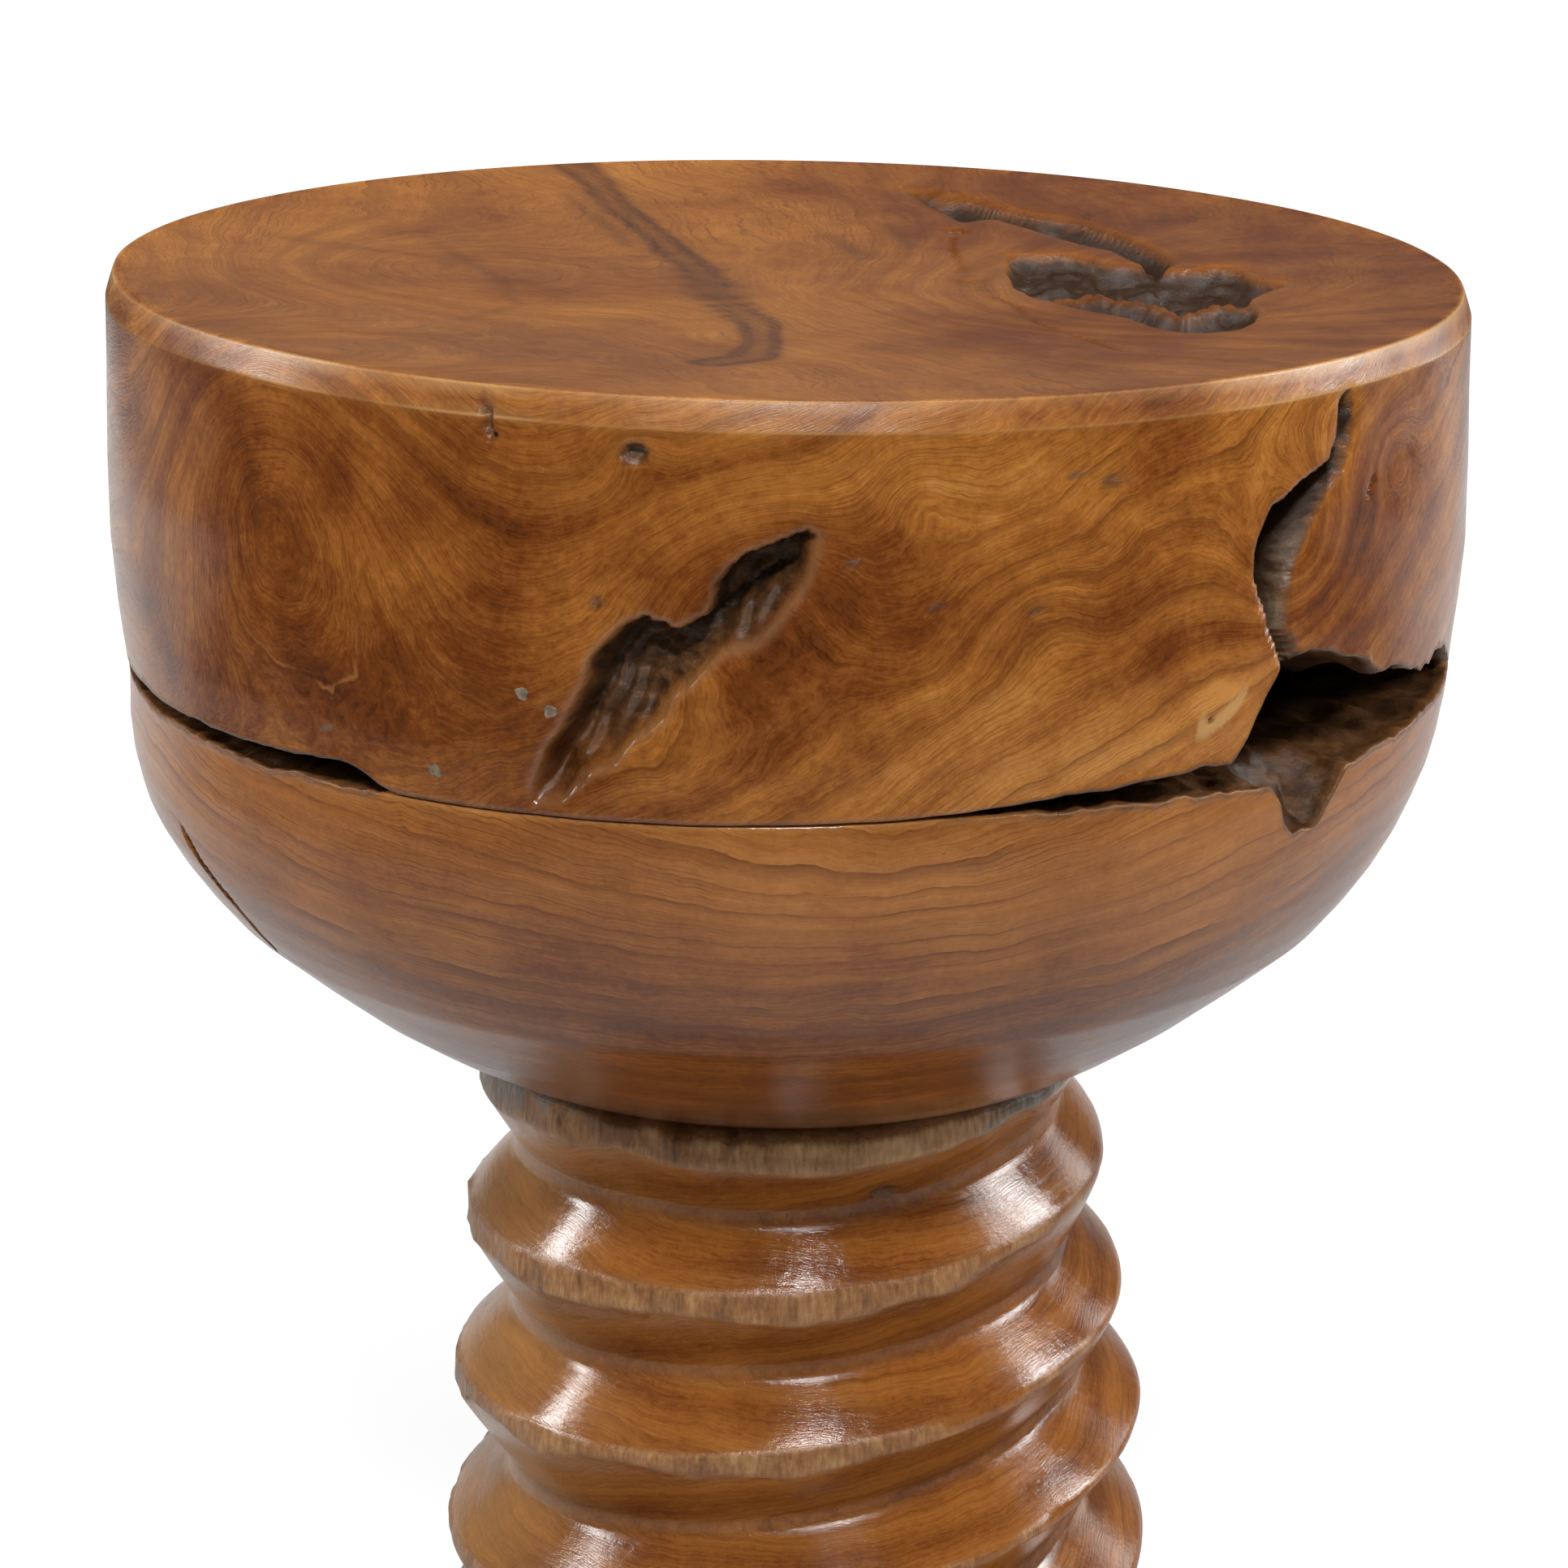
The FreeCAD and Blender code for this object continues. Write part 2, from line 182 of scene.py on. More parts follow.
VOID_UPPER_EDGE = [
    (-19.1, 116), (-19.4, 110), (-16, 86), (-15, 79), (-14.4, 71), (-12, 62), (-10.4, 59), (-8, 62),
    (-5.8, 57.5), (-5, 49), (-2.9, 40), (0, 36), (1.3, 34), (2.4, 36),
]
VOID_LOWER_EDGE = [
    (2.4, 36), (2.1, 40), (1.3, 48), (0.4, 55), (-2.2, 66), (-4.5, 69), (-6.4, 75), (-8, 80), (-9, 88),
    (-11.2, 95), (-13, 102.5), (-15.2, 106), (-16.9, 113.5), (-19.1, 116),
]
FISSURE_LEFT = [
    (40.4, 88), (40, 84.6), (38.6, 74.4), (37.5, 62.5), (36.8, 56.9), (37.2, 46.1), (38.6, 38.8),
    (41.7, 33.2), (45.3, 28), (46.1, 22.7), (46.5, 10),
]
FISSURE_RIGHT = [
    (47.6, 10), (48.0, 22), (47.8, 26.5), (46.7, 32.6), (45, 36.7), (42.3, 49.2), (41.2, 55.9),
    (40.6, 64.5), (40.5, 76.4), (41.4, 81.6), (42.4, 88),
]
SAP_PATCH = [
    (32, 103), (31.9, 98.8), (32.3, 92.8), (32.6, 97.6), (33.1, 98.8), (34.9, 93.6), (36.5, 89.8),
    (36.6, 92), (35.8, 96.4), (34.3, 100.7), (32.8, 103),
]
# Pits as (angle, drop, half width, half height, depth), and pale specks in some of them, glints off resin
# painted in as colour
WALL_PITS = [
    (-11, 15, 4.6, 3, 4.5), (-13.8, 56, 1.5, 1.5, 2.5), (11.8, 51, 1.6, 1.3, 1.6),
    (-42.3, 33.5, 1.3, 2, 1.2), (33.2, 97.5, 1.3, 1.3, 1.2), (17.6, 58, 2.2, 1.5, 1.4),
    (24, 24, 2.4, 2.6, 1.2), (10.6, 56, 1.2, 1.2, 1.2), (21, 21, 1.2, 1.2, 1.0),
    (4.5, 43, 1.8, 1.4, 1.0),
]
PAINTED_GLINT_SPECKS = [
    (-10.9, 15.2, 3, 1.9), (-37.3, 103, 1.4, 1.1), (-35.6, 102, 1.3, 1.1), (12, 50.4, 0.9, 0.8),
    (18.6, 40, 1.3, 0.9),
]
# Nail heads as (angle, drop, radius)
NAILS = [(-27.1, 108.6, 2.7), (-19.5, 82.4, 2.6), (-17.4, 87, 2.3)]
BOWL_SLIT = [(-61.5, 160), (-59.5, 170), (-57.5, 180), (-57, 194)]
RIM_CRACK = [(-22.7, 5), (-22, 8), (-22.1, 11), (-21.5, 14)]
LOBE_CRACK = [(51.2, 37), (50.2, 42)]
VOID_CRACK = [(0.8, 44), (-2.2, 51), (-4.9, 60)]
BURL = [
    (73, 64), (79, 66), (86, 62), (94, 64), (101, 56), (107, 44), (115, 42), (122, 32), (131, 29),
    (143, 33), (149, 26), (152, 7), (161, -4), (151, -14), (145, -26), (146, -48), (141, -67),
    (136, -78), (129, -81), (122, -82), (116, -77), (111, -67), (108, -56), (103, -44), (97, -40),
    (88, -25), (82, -13), (78, -10), (73, 8), (72, 33),
]
GROOVE = [
    (45, 168), (60, 159), (69, 151), (79, 136), (88, 126), (96, 121), (104, 112), (114, 91), (124, 65),
    (128, 42), (122, 30), (117, 44), (110, 66), (101, 78), (92, 94), (83, 110), (74, 124), (66, 122),
    (62, 118), (56, 134), (50, 150),
]
# Pits in the top as (right, back, radius, depth)
TOP_PITS = [(81, 16, 2.8, 18), (58, 101, 3.4, 7), (30, 60, 0.8, 0.8)]
BURL_SLIT = [(88, 28), (96, 16), (103, 6), (114, 9), (121, 12)]
BURL_RIDGE = [(86, 1), (96, -1), (107, -14), (116, -27), (123, -42), (135, -28), (143, -33)]
BURL_POCKET = [(92, -25), (104, -36), (116, -62), (130, -70), (138, -58)]
RING_CRACK = [(57, 93), (56, 74), (58, 35), (62, 5), (70, -21), (76, -56), (88, -88), (97, -112)]
DARK_STREAK = [
    (-81, 197), (-70, 169), (-60, 126), (-45, 84), (-33, 44), (-21, -11), (-12, -54), (-8, -92),
    (-11, -123), (-21, -136),
]
SHORT_STREAKS = [[(-79, 146), (-67, 108), (-54, 70)], [(13, 93), (24, 59)], [(34, 112), (41, 78)]]
LEFT_LINES = [
    [(-173, 46), (-146, 42), (-121, 33), (-104, 26)], [(-125, 76), (-98, 14), (-84, -41), (-101, -75)],
]

# Height of the slab's lower edge over the bowl, and of the bowl's upper edge over the sawn seam, by angle
SLAB_GAP = [
    -180, 0.4, -90, 0.4, -80, 0.5, -76, 4, -70, 5, -57, 5, -45, 6.5, -38, 8, -35, 7.5, -32.5, 2.5,
    -31, 0.6, -15, 0.5, 0, 0.6, 8, 0.9, 13, 2, 20, 4, 30, 7.5, 34, 8, 35.8, 8.5, 37, 15, 38.5, 27,
    40.1, 37, 42, 39, 43.3, 38.5, 47.7, 34, 54, 25, 58.3, 21, 62.8, 18, 67, 19, 71, 16, 75, 8, 79, 1,
    90, 0.4, 180, 0.4,
]
BOWL_EDGE = [
    -180, 0, -90, 0, -72, -2, -52, -0.7, -41, -0.7, -31, 0.8, -6.6, 1.7, 1.7, 2.2, 10.6, 2.6, 20, 2,
    30, 0.4, 38, -2, 40.3, -2.9, 41.5, -9, 42.3, -16, 44, -22, 46.5, -22.5, 48, -15, 49.9, -5, 52, -4,
    72, -4, 85, -2, 100, 0, 180, 0,
]
# Radius of the slab by drop, and of the bowl by depth below the seam
WALL_PROFILE = [0, 212.9, 8, 215.8, 30, 216.5, 55, 217.8, 80, 218.3, 100, 217.2, 120, 215.4]
BOWL_PROFILE = [
    0, 215.4, 10, 214.8, 20, 213.3, 30, 211, 40, 207.4, 50, 203.2, 60, 197.8, 70, 191.2, 80, 183.4,
    95, 166.6, 110, 148.6, 123, 130.4, 131, 117.6, 134.5, 110.6, 136, 104,
]
# How far the bowl swells at its left, by depth below the seam
LEFT_BULGE = [0, 0, 15, 2, 45, 7, 120, 7, 136, 5]


def arc_length(angle):
    return np.radians(angle) * WALL_RADIUS


def on_wall(places):
    """Measured (angle, drop) places as lengths along and down the wall."""
    return [(float(arc_length(angle)), drop) for angle, drop in places]


# Meshes from rings


def spaced_angles(count, zones):
    """Angles round the table, closer together where a zone (from, to, lines per degree) asks for it."""
    plain_lines = 0.42
    zone_fade = 5
    fine = np.linspace(-180, 180, 3601)
    density = np.full(len(fine), plain_lines)
    for start, end, lines in zones:
        near = smooth(start - zone_fade, start, fine) * fade(end, end + zone_fade, fine)
        density = np.maximum(density, lines * near)
    reach = np.concatenate([[0], np.cumsum((density[1:] + density[:-1]) / 2)])
    steps = np.arange(count) / count * reach[-1]
    return np.interp(steps, reach, fine)


# Kinds of surface that a ring lies on
UNDER, WALL, LEVEL = 0, 1, 2


class Rings:
    """Rings of points that follow each other over the surface of a piece."""

    def __init__(self, angles):
        self.angles = angles
        self.rings = []
        self.kinds = []

    def add(self, radius, height, stride, kind):
        """A ring at every so many of the angles, its radius and height one number or one for each angle."""
        count = len(self.angles)
        radius = np.broadcast_to(radius, (count,))[::stride]
        height = np.broadcast_to(height, (count,))[::stride]
        self.rings.append(round_axis(self.angles[::stride], radius, height))
        self.kinds.append(np.full(len(radius), kind))

    def stacked(self):
        """The sizes of the rings, all their points, and the kind of surface at each point."""
        sizes = [len(ring) for ring in self.rings]
        return sizes, np.concatenate(self.rings), np.concatenate(self.kinds)


def ring_faces(sizes):
    """Faces between rings, each as large as the last one or half or twice as large, with closed ends."""
    starts = np.cumsum([0, *sizes]).tolist()
    faces = []
    for here, there, size, next_size in zip(starts, starts[1:], sizes, sizes[1:]):
        steps = min(size, next_size)
        for i in range(steps):
            j = (i + 1) % steps
            if size == next_size:
                faces.append((here + i, here + j, there + j, there + i))
            elif size > next_size:
                a, b, c = here + 2 * i, here + 2 * i + 1, here + 2 * j
                d, e = there + i, there + j
                faces += [(a, b, d), (b, e, d), (b, c, e)]
            else:
                a, b = here + i, here + j
                c, d, e = there + 2 * i, there + 2 * i + 1, there + 2 * j
                faces += [(a, d, c), (a, b, d), (b, e, d)]
    faces.append(tuple(reversed(range(sizes[0]))))
    faces.append(tuple(range(starts[-2], starts[-1])))
    return faces


def add_mesh(name, points, faces, fields, material):
    """A smooth mesh object, in metres, with a number per vertex for each named field of the wood."""
    mesh = bpy.data.meshes.new(name)
    mesh.from_pydata((points * METRE).tolist(), [], faces)
    for field, amounts in fields.items():
        layer = mesh.attributes.new(field, "FLOAT", "POINT")
        layer.data.foreach_set("value", np.ascontiguousarray(amounts, dtype=np.float32))
    mesh.polygons.foreach_set("use_smooth", np.ones(len(mesh.polygons), bool))
    mesh.materials.append(material)
    piece = bpy.data.objects.new(name, mesh)
    bpy.context.collection.objects.link(piece)
    return piece


def stand_for(piece, node):
    """Fix a piece to the table, in place of a CAD node if it has one."""
    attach(piece, "root")
    if node:
        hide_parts(node)


# Growth of the wood: a slope through the block that knots push up into rings

SLAB_SLOPE = np.array([0.45, 0.18, -0.87])
# Knots as (middle, push, reach)
SLAB_KNOTS = [
    (polar(-42.5, 216, TOP - 36), 98, 62),
    (polar(54.6, 216, TOP - 33), 26, 13),
    (polar(-11, 214, TOP - 15), 14, 9),
    (polar(-3, 217, TOP - 52), 40, 34),
    (polar(9, 217, TOP - 22), 16, 16),
    (polar(17, 217, TOP - 60), 14, 18),
    (polar(41, 215, TOP - 52), -42, 24),
    (np.array([108, -5, TOP - 8]), 88, 72),
    (np.array([-112, 5, TOP - 10]), 60, 60),
    (polar(150, 216, TOP - 60), 70, 45),
    (polar(-130, 216, TOP - 70), 60, 40),
    (polar(105, 216, TOP - 85), 40, 30),
]


def slab_growth(points):
    growth = points @ SLAB_SLOPE
    for middle, push, reach in SLAB_KNOTS:
        growth = growth + push * np.exp(-((points - middle) ** 2).sum(axis=1) / reach**2)
    return growth + 7 * noise(points, 70, 11) + 2.5 * noise(points, 24, 12)


# Broad tone of the slab, dark below 0 and golden above: (angle, drop, reach along, reach down, tone)
WALL_TONES = [
    (-34, 92, 70, 26, -0.55), (-47, 40, 26, 24, -0.4), (-22, 60, 34, 26, -0.3), (-8, 44, 20, 16, -0.25),
    (8, 24, 60, 12, 0.4), (14, 96, 80, 20, 0.6), (6, 55, 26, 22, -0.18), (28, 62, 50, 34, -0.32),
    (24, 40, 36, 14, 0.25), (-28, 22, 40, 12, -0.2), (50, 60, 30, 40, -0.45), (-18, 100, 20, 14, -0.45),
    (-30, 66, 30, 14, 0.25), (34, 92, 8, 5, 0.9), (-35, 31, 7, 10, -0.6),
]


def slab_tone(points):
    """How golden or dark the slab is, by patches on its wall, and on its top a fall from left to right that
    is painted shade against the right lamp.
    """
    angle = angle_of(points)
    drop = TOP - points[:, 2]
    wall = smooth(150, 200, radius_of(points)) * smooth(0, 12, drop)
    tone = 0.28 * noise(points, 55, 21, 2)
    for at, down, along, below, strength in WALL_TONES:
        far = (arc_length(angle - at) / along) ** 2 + ((drop - down) / below) ** 2
        tone = tone + wall * strength * np.exp(-far)
    # Painted shade: darker to the right, where the right lamp lights the top more
    top_tone_and_shade = 0.17 - 0.4 * smooth(-20, 90, points[:, 0])
    return tone + top_tone_and_shade * (1 - wall)


# The upper slab of root wood


def void_carving(along, drop, points, rough):
    """Depth of the eroded void at the front, how dark and pale it is, and the shade painted in it."""
    deepest = 18
    layer_width = 4.6
    outline = on_wall(VOID_UPPER_EDGE[:-1] + VOID_LOWER_EDGE[:-1])
    wobble = 0.8 * noise(points, 9, 32) + 0.3 * noise(points, 3, 33)
    inside = inside_outline(along, drop, outline) + wobble
    within = inside > 0
    from_upper = path_distance(along, drop, on_wall(VOID_UPPER_EDGE)) + wobble
    from_lower = path_distance(along, drop, on_wall(VOID_LOWER_EDGE)) + wobble
    # Steep under the upper edge, rolling in over the lower one
    steep = deepest * sink(from_upper, 2.3)
    rolling = deepest * sink(from_lower, 8)
    depth = within * np.minimum(steep, rolling)
    # Layers of the wood follow the upper edge inside the void
    layers = np.sin((from_upper + 2.4 * noise(points, 14, 34)) * 2 * np.pi / layer_width)
    from_crack = path_distance(along, drop, on_wall(VOID_CRACK)) + wobble
    crack = within * fade(0.6, 2.4, from_crack)
    depth = depth + smooth(3, 8, depth) * (1.2 * layers + 1.6 * rough + 5 * crack)
    depth = depth + 0.9 * round_over(inside, 2.0)
    tail = smooth(86, 104, drop)
    cavity = within * smooth(2.5, 8, depth) * (1 - 0.5 * tail)
    lip = bell(depth - 2.2, 2.2) * smooth(-2.5, 0, inside)
    # Painted shade under the upper edge, between the layers and along the crack, which dims the hollow
    # colour
    under_edge = smooth(3, 6, depth) * fade(2, 7, from_upper)
    between_layers = smooth(0.1, 0.9, layers) * smooth(5, 9, depth) * (1 - tail)
    dim = within * np.clip(0.5 * between_layers + 0.6 * under_edge + crack, 0, 1)
    return depth, cavity, lip, dim


def fissure_carving(along, drop, points, rough):
    """Depth of the fissure at the right, the distance inside its edge, and the sand on its right side."""
    deepest = 58
    ragged = 0.5 * noise(points, 6, 35) + 0.25 * noise(points, 2.5, 36)
    split = inside_outline(along, drop, on_wall(FISSURE_LEFT + FISSURE_RIGHT)) + ragged
    from_left = path_distance(along, drop, on_wall(FISSURE_LEFT))
    from_right = path_distance(along, drop, on_wall(FISSURE_RIGHT))
    # A cut with a steep left side and a right side that leans
    depth = (split > 0) * np.clip(np.minimum(9 * from_left, 5 * from_right), 0, deepest)
    depth = depth + smooth(1, 8, depth) * 1.5 * rough + 0.7 * round_over(split, 1.2)
    low_right = (from_right < from_left) * smooth(44, 52, drop)
    sand_and_glints = 0.8 * smooth(-0.2, 0.4, split) * fade(4.5, 7, depth) * low_right
    return depth, split, sand_and_glints


def wall_carving(angle, drop, points):
    """How far the slab wall is eaten away, how dark, pale and sandy it is there, the glints painted on it,
    and the shade painted in its hollows.
    """
    along = arc_length(angle)
    rough = noise(points, 7, 31, 3)
    depth, cavity, lip, dim = void_carving(along, drop, points, rough)
    slit, split, sand_and_glints = fissure_carving(along, drop, points, rough)
    depth = np.maximum(depth, slit)
    cavity = np.maximum(cavity, smooth(-0.5, 0.3, split))
    # Painted shade inside the fissure, except where its sand is
    dim = np.maximum(dim, smooth(-0.3, 0.3, split) * (1 - sand_and_glints))
    lip = np.maximum(lip, 0.25 * bell(split + 0.5, 0.7))
    for crack, width, deep in ((RIM_CRACK, 1.5, 3.5), (LOBE_CRACK, 0.9, 2.0)):
        near = path_distance(along, drop, on_wall(crack)) + 0.4 * noise(points, 3, 37)
        depth = np.maximum(depth, deep * fade(0.2, width, near))
        cavity = np.maximum(cavity, fade(0.2, width * 0.8, near))
    for at, down, wide, tall, deep in WALL_PITS:
        near = np.hypot((along - arc_length(at)) / wide, (drop - down) / tall)
        near = near + 0.15 * noise(points, 3, 38)
        depth = np.maximum(depth, deep * fade(0.35, 1.05, near))
        cavity = np.maximum(cavity, 0.75 * fade(0.75, 1.1, near))
    # Painted glints: pale specks laid in the sand field where resin in the pits catches the light
    for at, down, wide, tall in PAINTED_GLINT_SPECKS:
        near = np.hypot((along - arc_length(at)) / wide, (drop - down) / tall)
        near = near + 0.3 * noise(points, 2.5, 39)
        sand_and_glints = np.maximum(sand_and_glints, fade(0.5, 1.0, near))
    return depth, cavity, lip, sand_and_glints, dim


def top_carving(points):
    """How deep the dished top is eaten away, how dark and pale it is there, and the shade painted in its
    hollows.
    """
    x, y = points[:, 0], points[:, 1]
    rough = noise(points, 9, 41, 3)
    wobble = 1.2 * noise(points, 13, 42) + 0.12 * noise(points, 4, 43)
    inside = inside_rounded(x, y, BURL, 3.5) + wobble
    ridge = bell(path_distance(x, y, BURL_RIDGE) + 1.5 * wobble, 3.6)
    slit = bell(path_distance(x, y, BURL_SLIT), 4)
    pocket = bell(path_distance(x, y, BURL_POCKET), 6)
    burl_floor = 7 + 13 * slit + 11 * pocket - 5.5 * ridge
    depth = burl_floor * sink(inside, 2.2)
    depth = depth + smooth(2, 6, inside) * (2.2 * rough + 1.3 * noise(points, 3.6, 45, 2))
    groove = inside_rounded(x, y, GROOVE, 1.5) + 1.2 + 0.6 * wobble
    channel = 11 * sink(groove, 2.6) + smooth(2, 5, groove) * 2.0 * rough
    depth = np.maximum(depth, channel)
    edge = np.maximum(inside, groove)
    depth = np.maximum(depth, 0) + 0.7 * round_over(edge, 2.0)
    ridge_crest = ridge**4
    cavity = smooth(-0.1, 1.2, edge) * (1 - 0.7 * ridge_crest)
    lip = 0.4 * bell(edge + 0.5, 1.1)
    for right, back, wide, deep in TOP_PITS:
        near = np.hypot(x - right, y - back) / wide
        depth = np.maximum(depth, deep * fade(0.6, 1.05, near))
        cavity = np.maximum(cavity, fade(0.8, 1.1, near))
    # Painted shade: darker the deeper the hollow, less on the ridge's crest, and dark down the groove
    dim = smooth(0.5, 4.5, depth + 1.6 * noise(points, 5, 46)) * (1 - 0.5 * ridge_crest)
    dim = np.maximum(dim, 0.9 * smooth(0.4, 2.2, groove))
    from_crack = path_distance(x, y, RING_CRACK) + 0.7 * noise(points, 6, 44)
    depth = depth + 0.7 * fade(0.2, 1.6, from_crack)
    cavity = np.maximum(cavity, 0.35 * fade(0.2, 1.2, from_crack))
    return depth, cavity, lip, dim


def streaks(points):
    """Dark lines in the figure of the top."""
    x, y = points[:, 0], points[:, 1]
    x = x + 4 * noise(points, 30, 51)
    main = path_distance(x, y, DARK_STREAK)
    dark = 0.9 * bell(main - 4.5, 1.9) + 0.4 * bell(main, 5) + 0.25 * bell(main, 14)
    for paths, strength, width in ((SHORT_STREAKS, 0.6, 4), (LEFT_LINES, 0.35, 2.5)):
        for path in paths:
            dark = np.maximum(dark, strength * bell(path_distance(x, y, path), width))
    on_top = smooth(TOP - 40, TOP - 14, points[:, 2])
    return np.clip(dark, 0, 1) * on_top


def drying_checks(points):
    """Where fine pale checks follow the rings below the large knot."""
    drop = TOP - points[:, 2]
    outside = smooth(185, 205, radius_of(points))
    return outside * bell(angle_of(points) + 37, 11) * bell(drop - 88, 17)


def pale_bevel_lines_and_sap(points, angle, drop, radius):
    """The two pale lines along the bevel, broken here and there, and the patch of pale sapwood."""
    lower = bell(drop - BEVEL_DROP, 0.5)
    upper = bell(radius - RIM_RADIUS, 0.45) * (drop < 2)
    broken = 0.35 + 0.65 * smooth(-0.25, 0.35, noise(points, 40, 68, 2))
    patch = smooth(-0.5, 0.7, inside_outline(arc_length(angle), drop, on_wall(SAP_PATCH)))
    return np.maximum(np.maximum(lower, upper) * broken, patch)


SLAB_ANGLES = 480
SLAB_ZONES = [
    (-80, 27, 1.1), (-24, 6, 2.9), (33, 62, 2.9), (60, 78, 2), (55, 138, 1.6), (138, 165, 1.2),
    (-172, -150, 0.9),
]
# From the wall over the bevel to the rim: (inwards from the bevel's foot, drop)
BEVEL_STEPS = [
    (0.0, 8.7), (0.03, 8.1), (0.25, 7.4), (1.3, 4.2), (2.5, 0.8), (2.8, 0.2), (3.3, 0.0), (4.2, 0.06),
]


def slab_edges(angles):
    """By angle: the height of the slab's underside, of its lower edge, and the gap under that edge."""
    circle = round_axis(angles, WALL_RADIUS, np.zeros(len(angles)))
    gap = table(angles, SLAB_GAP)
    gap = gap + np.minimum(gap * 0.12, 1.6) * noise(circle, 9, 61, 2)
    teeth = smooth(58, 63, angles) * fade(76, 79, angles)
    gap = gap + teeth * 1.6 * noise(circle, 3.5, 62)
    gap = np.maximum(gap, 0.3)
    over_notch = np.abs(angles - 45) <= 7
    underside = SEAM + np.where(over_notch, -3, table(angles, BOWL_EDGE))
    return underside, underside + gap, gap


def slab_rings(angles, underside, edge, gap, outer):
    """Rings from the middle of the underside outwards, up the wall, and in again over the top."""
    rings = Rings(angles)
    for radius, stride in ((4, 8), (12, 8), (26, 8), (45, 4), (70, 4), (95, 2), (115, 2)):
        rings.add(radius, underside + 0.2, stride, UNDER)
    roof_start = 128
    roof_reach = 26 + 52 * smooth(9, 16, gap) + 20 * smooth(2, 6, gap)
    for share in np.linspace(0, 1, int(19 * FINE))[:-1] ** 0.8:
        radius = roof_start + (outer - roof_start) * share
        inwards = np.clip((outer - radius) / roof_reach, 0, 1)
        rings.add(radius, underside + 0.3 + (gap - 0.3) * (1 - inwards**1.6), 1, UNDER)
    below_bevel = TOP - 10
    for share in np.linspace(0, 1, int(66 * FINE)):
        height = edge + (below_bevel - edge) * share
        rings.add(table(TOP - height, WALL_PROFILE), height, 1, WALL)
    for inset, drop in BEVEL_STEPS:
        rings.add(BEVEL_RADIUS - inset, TOP - drop, 1, WALL)
    outer_dish = np.linspace(207, 172, int(11 * FINE))
    inner_dish = np.linspace(169, 68, int(92 * FINE))
    dish = [(radius, 1) for radius in np.concatenate([outer_dish, inner_dish])]
    dish += [(62, 2), (56, 2), (50, 2), (44, 2), (38, 4), (30, 4), (22, 8), (12, 8), (4, 8)]
    for radius, stride in dish:
        rings.add(radius, TOP - DISH_DEPTH * (1 - (radius / RIM_RADIUS) ** 2), stride, LEVEL)
    return rings.stacked()


def make_top_slab(material):
    angles = spaced_angles(int(SLAB_ANGLES * FINE) // 8 * 8, SLAB_ZONES)
    underside, edge, gap = slab_edges(angles)
    outer = table(TOP - edge, WALL_PROFILE)
    sizes, points, kind = slab_rings(angles, underside, edge, gap, outer)
    angle = angle_of(points)
    radius = radius_of(points)
    drop = TOP - points[:, 2]
    cavity, lip, sand_and_glints, shade = np.zeros((4, len(points)))

    side = kind == WALL
    carving = wall_carving(angle[side], drop[side], points[side])
    deep, cavity[side], lip[side], sand_and_glints[side], shade[side] = carving
    uneven = 0.7 * noise(points[side], 80, 63) + 0.25 * noise(points[side], 25, 64)
    new_radius = radius.copy()
    new_radius[side] = radius[side] - deep + uneven

    level = kind == LEVEL
    deep, cavity[level], lip[level], shade[level] = top_carving(points[level])
    points[level, 2] += 0.35 * noise(points[level], 60, 65) - deep

    below = kind == UNDER
    points[below, 2] += smooth(1, 8, points[below, 2] - SEAM) * 2.2 * noise(points[below], 9, 66, 3)
    cavity[below] = 1
    # Painted shade under the slab, darker the further in from its edge
    inwards = np.interp(angle, angles, outer) - radius
    shade[below] = smooth(8, 40, inwards)[below]
    scale_outwards(points, new_radius / np.maximum(radius, 1))

    # The sawn edge over an open gap is ragged and dark for the last millimetre or two
    height_over = points[:, 2] - np.interp(angle, angles, edge)
    open_gap = smooth(1.5, 4, np.interp(angle, angles, gap))
    ragged = side & (height_over < 6)
    rag = fade(0.2, 1.6, height_over + 0.7 * noise(points, 4, 67))
    cavity[ragged] = np.maximum(cavity[ragged], (0.8 * open_gap * rag)[ragged])

    lift = smooth(SEAM + 20, TOP, points[:, 2]) * (RIM_TILT * points[:, 0])
    fields = {
        "growth": slab_growth(points),
        "tone": slab_tone(points),
        "cavity": cavity,
        "lip": lip,
        "sand_and_glints": sand_and_glints,
        "shade": shade,
        "streak": streaks(points),
        "check": drying_checks(points),
        "pale_marks_and_sheen": pale_bevel_lines_and_sap(points, angle, drop, radius) * side,
        "calm": np.where(level, 1.0, 0.0),
        "matte": fade(6, 10, drop) * smooth(209, 213, radius),
    }
    points[:, 2] += lift
    piece = add_mesh("top_slab_wood", points, ring_faces(sizes), fields, material)
    stand_for(piece, "top_slab")


# The bowl under the seam

BOWL_ANGLES = 400
BOWL_ZONES = [(-85, -50, 1.6), (-64, -55, 3.2), (-50, 35, 1.0), (36, 54, 3.2), (54, 85, 1.8)]


def bowl_growth(points):
    growth = -1.0 * points[:, 2] + 0.2 * points[:, 1] + 0.03 * points[:, 0]
    swell = polar(6, 215, SEAM - 12)
    swell_reach = np.array([75, 75, 26])
    growth = growth - 14 * np.exp(-((((points - swell) / swell_reach) ** 2).sum(axis=1)))
    knot = polar(60, 178, SEAM - 80)
    knot_reach = 40
    growth = growth + 40 * np.exp(-((points - knot) ** 2).sum(axis=1) / knot_reach**2)
    flattened = points * np.array([1, 1, 0.6])
    return growth + 7 * noise(flattened, 95, 71) + 1.5 * noise(points, 34, 72)


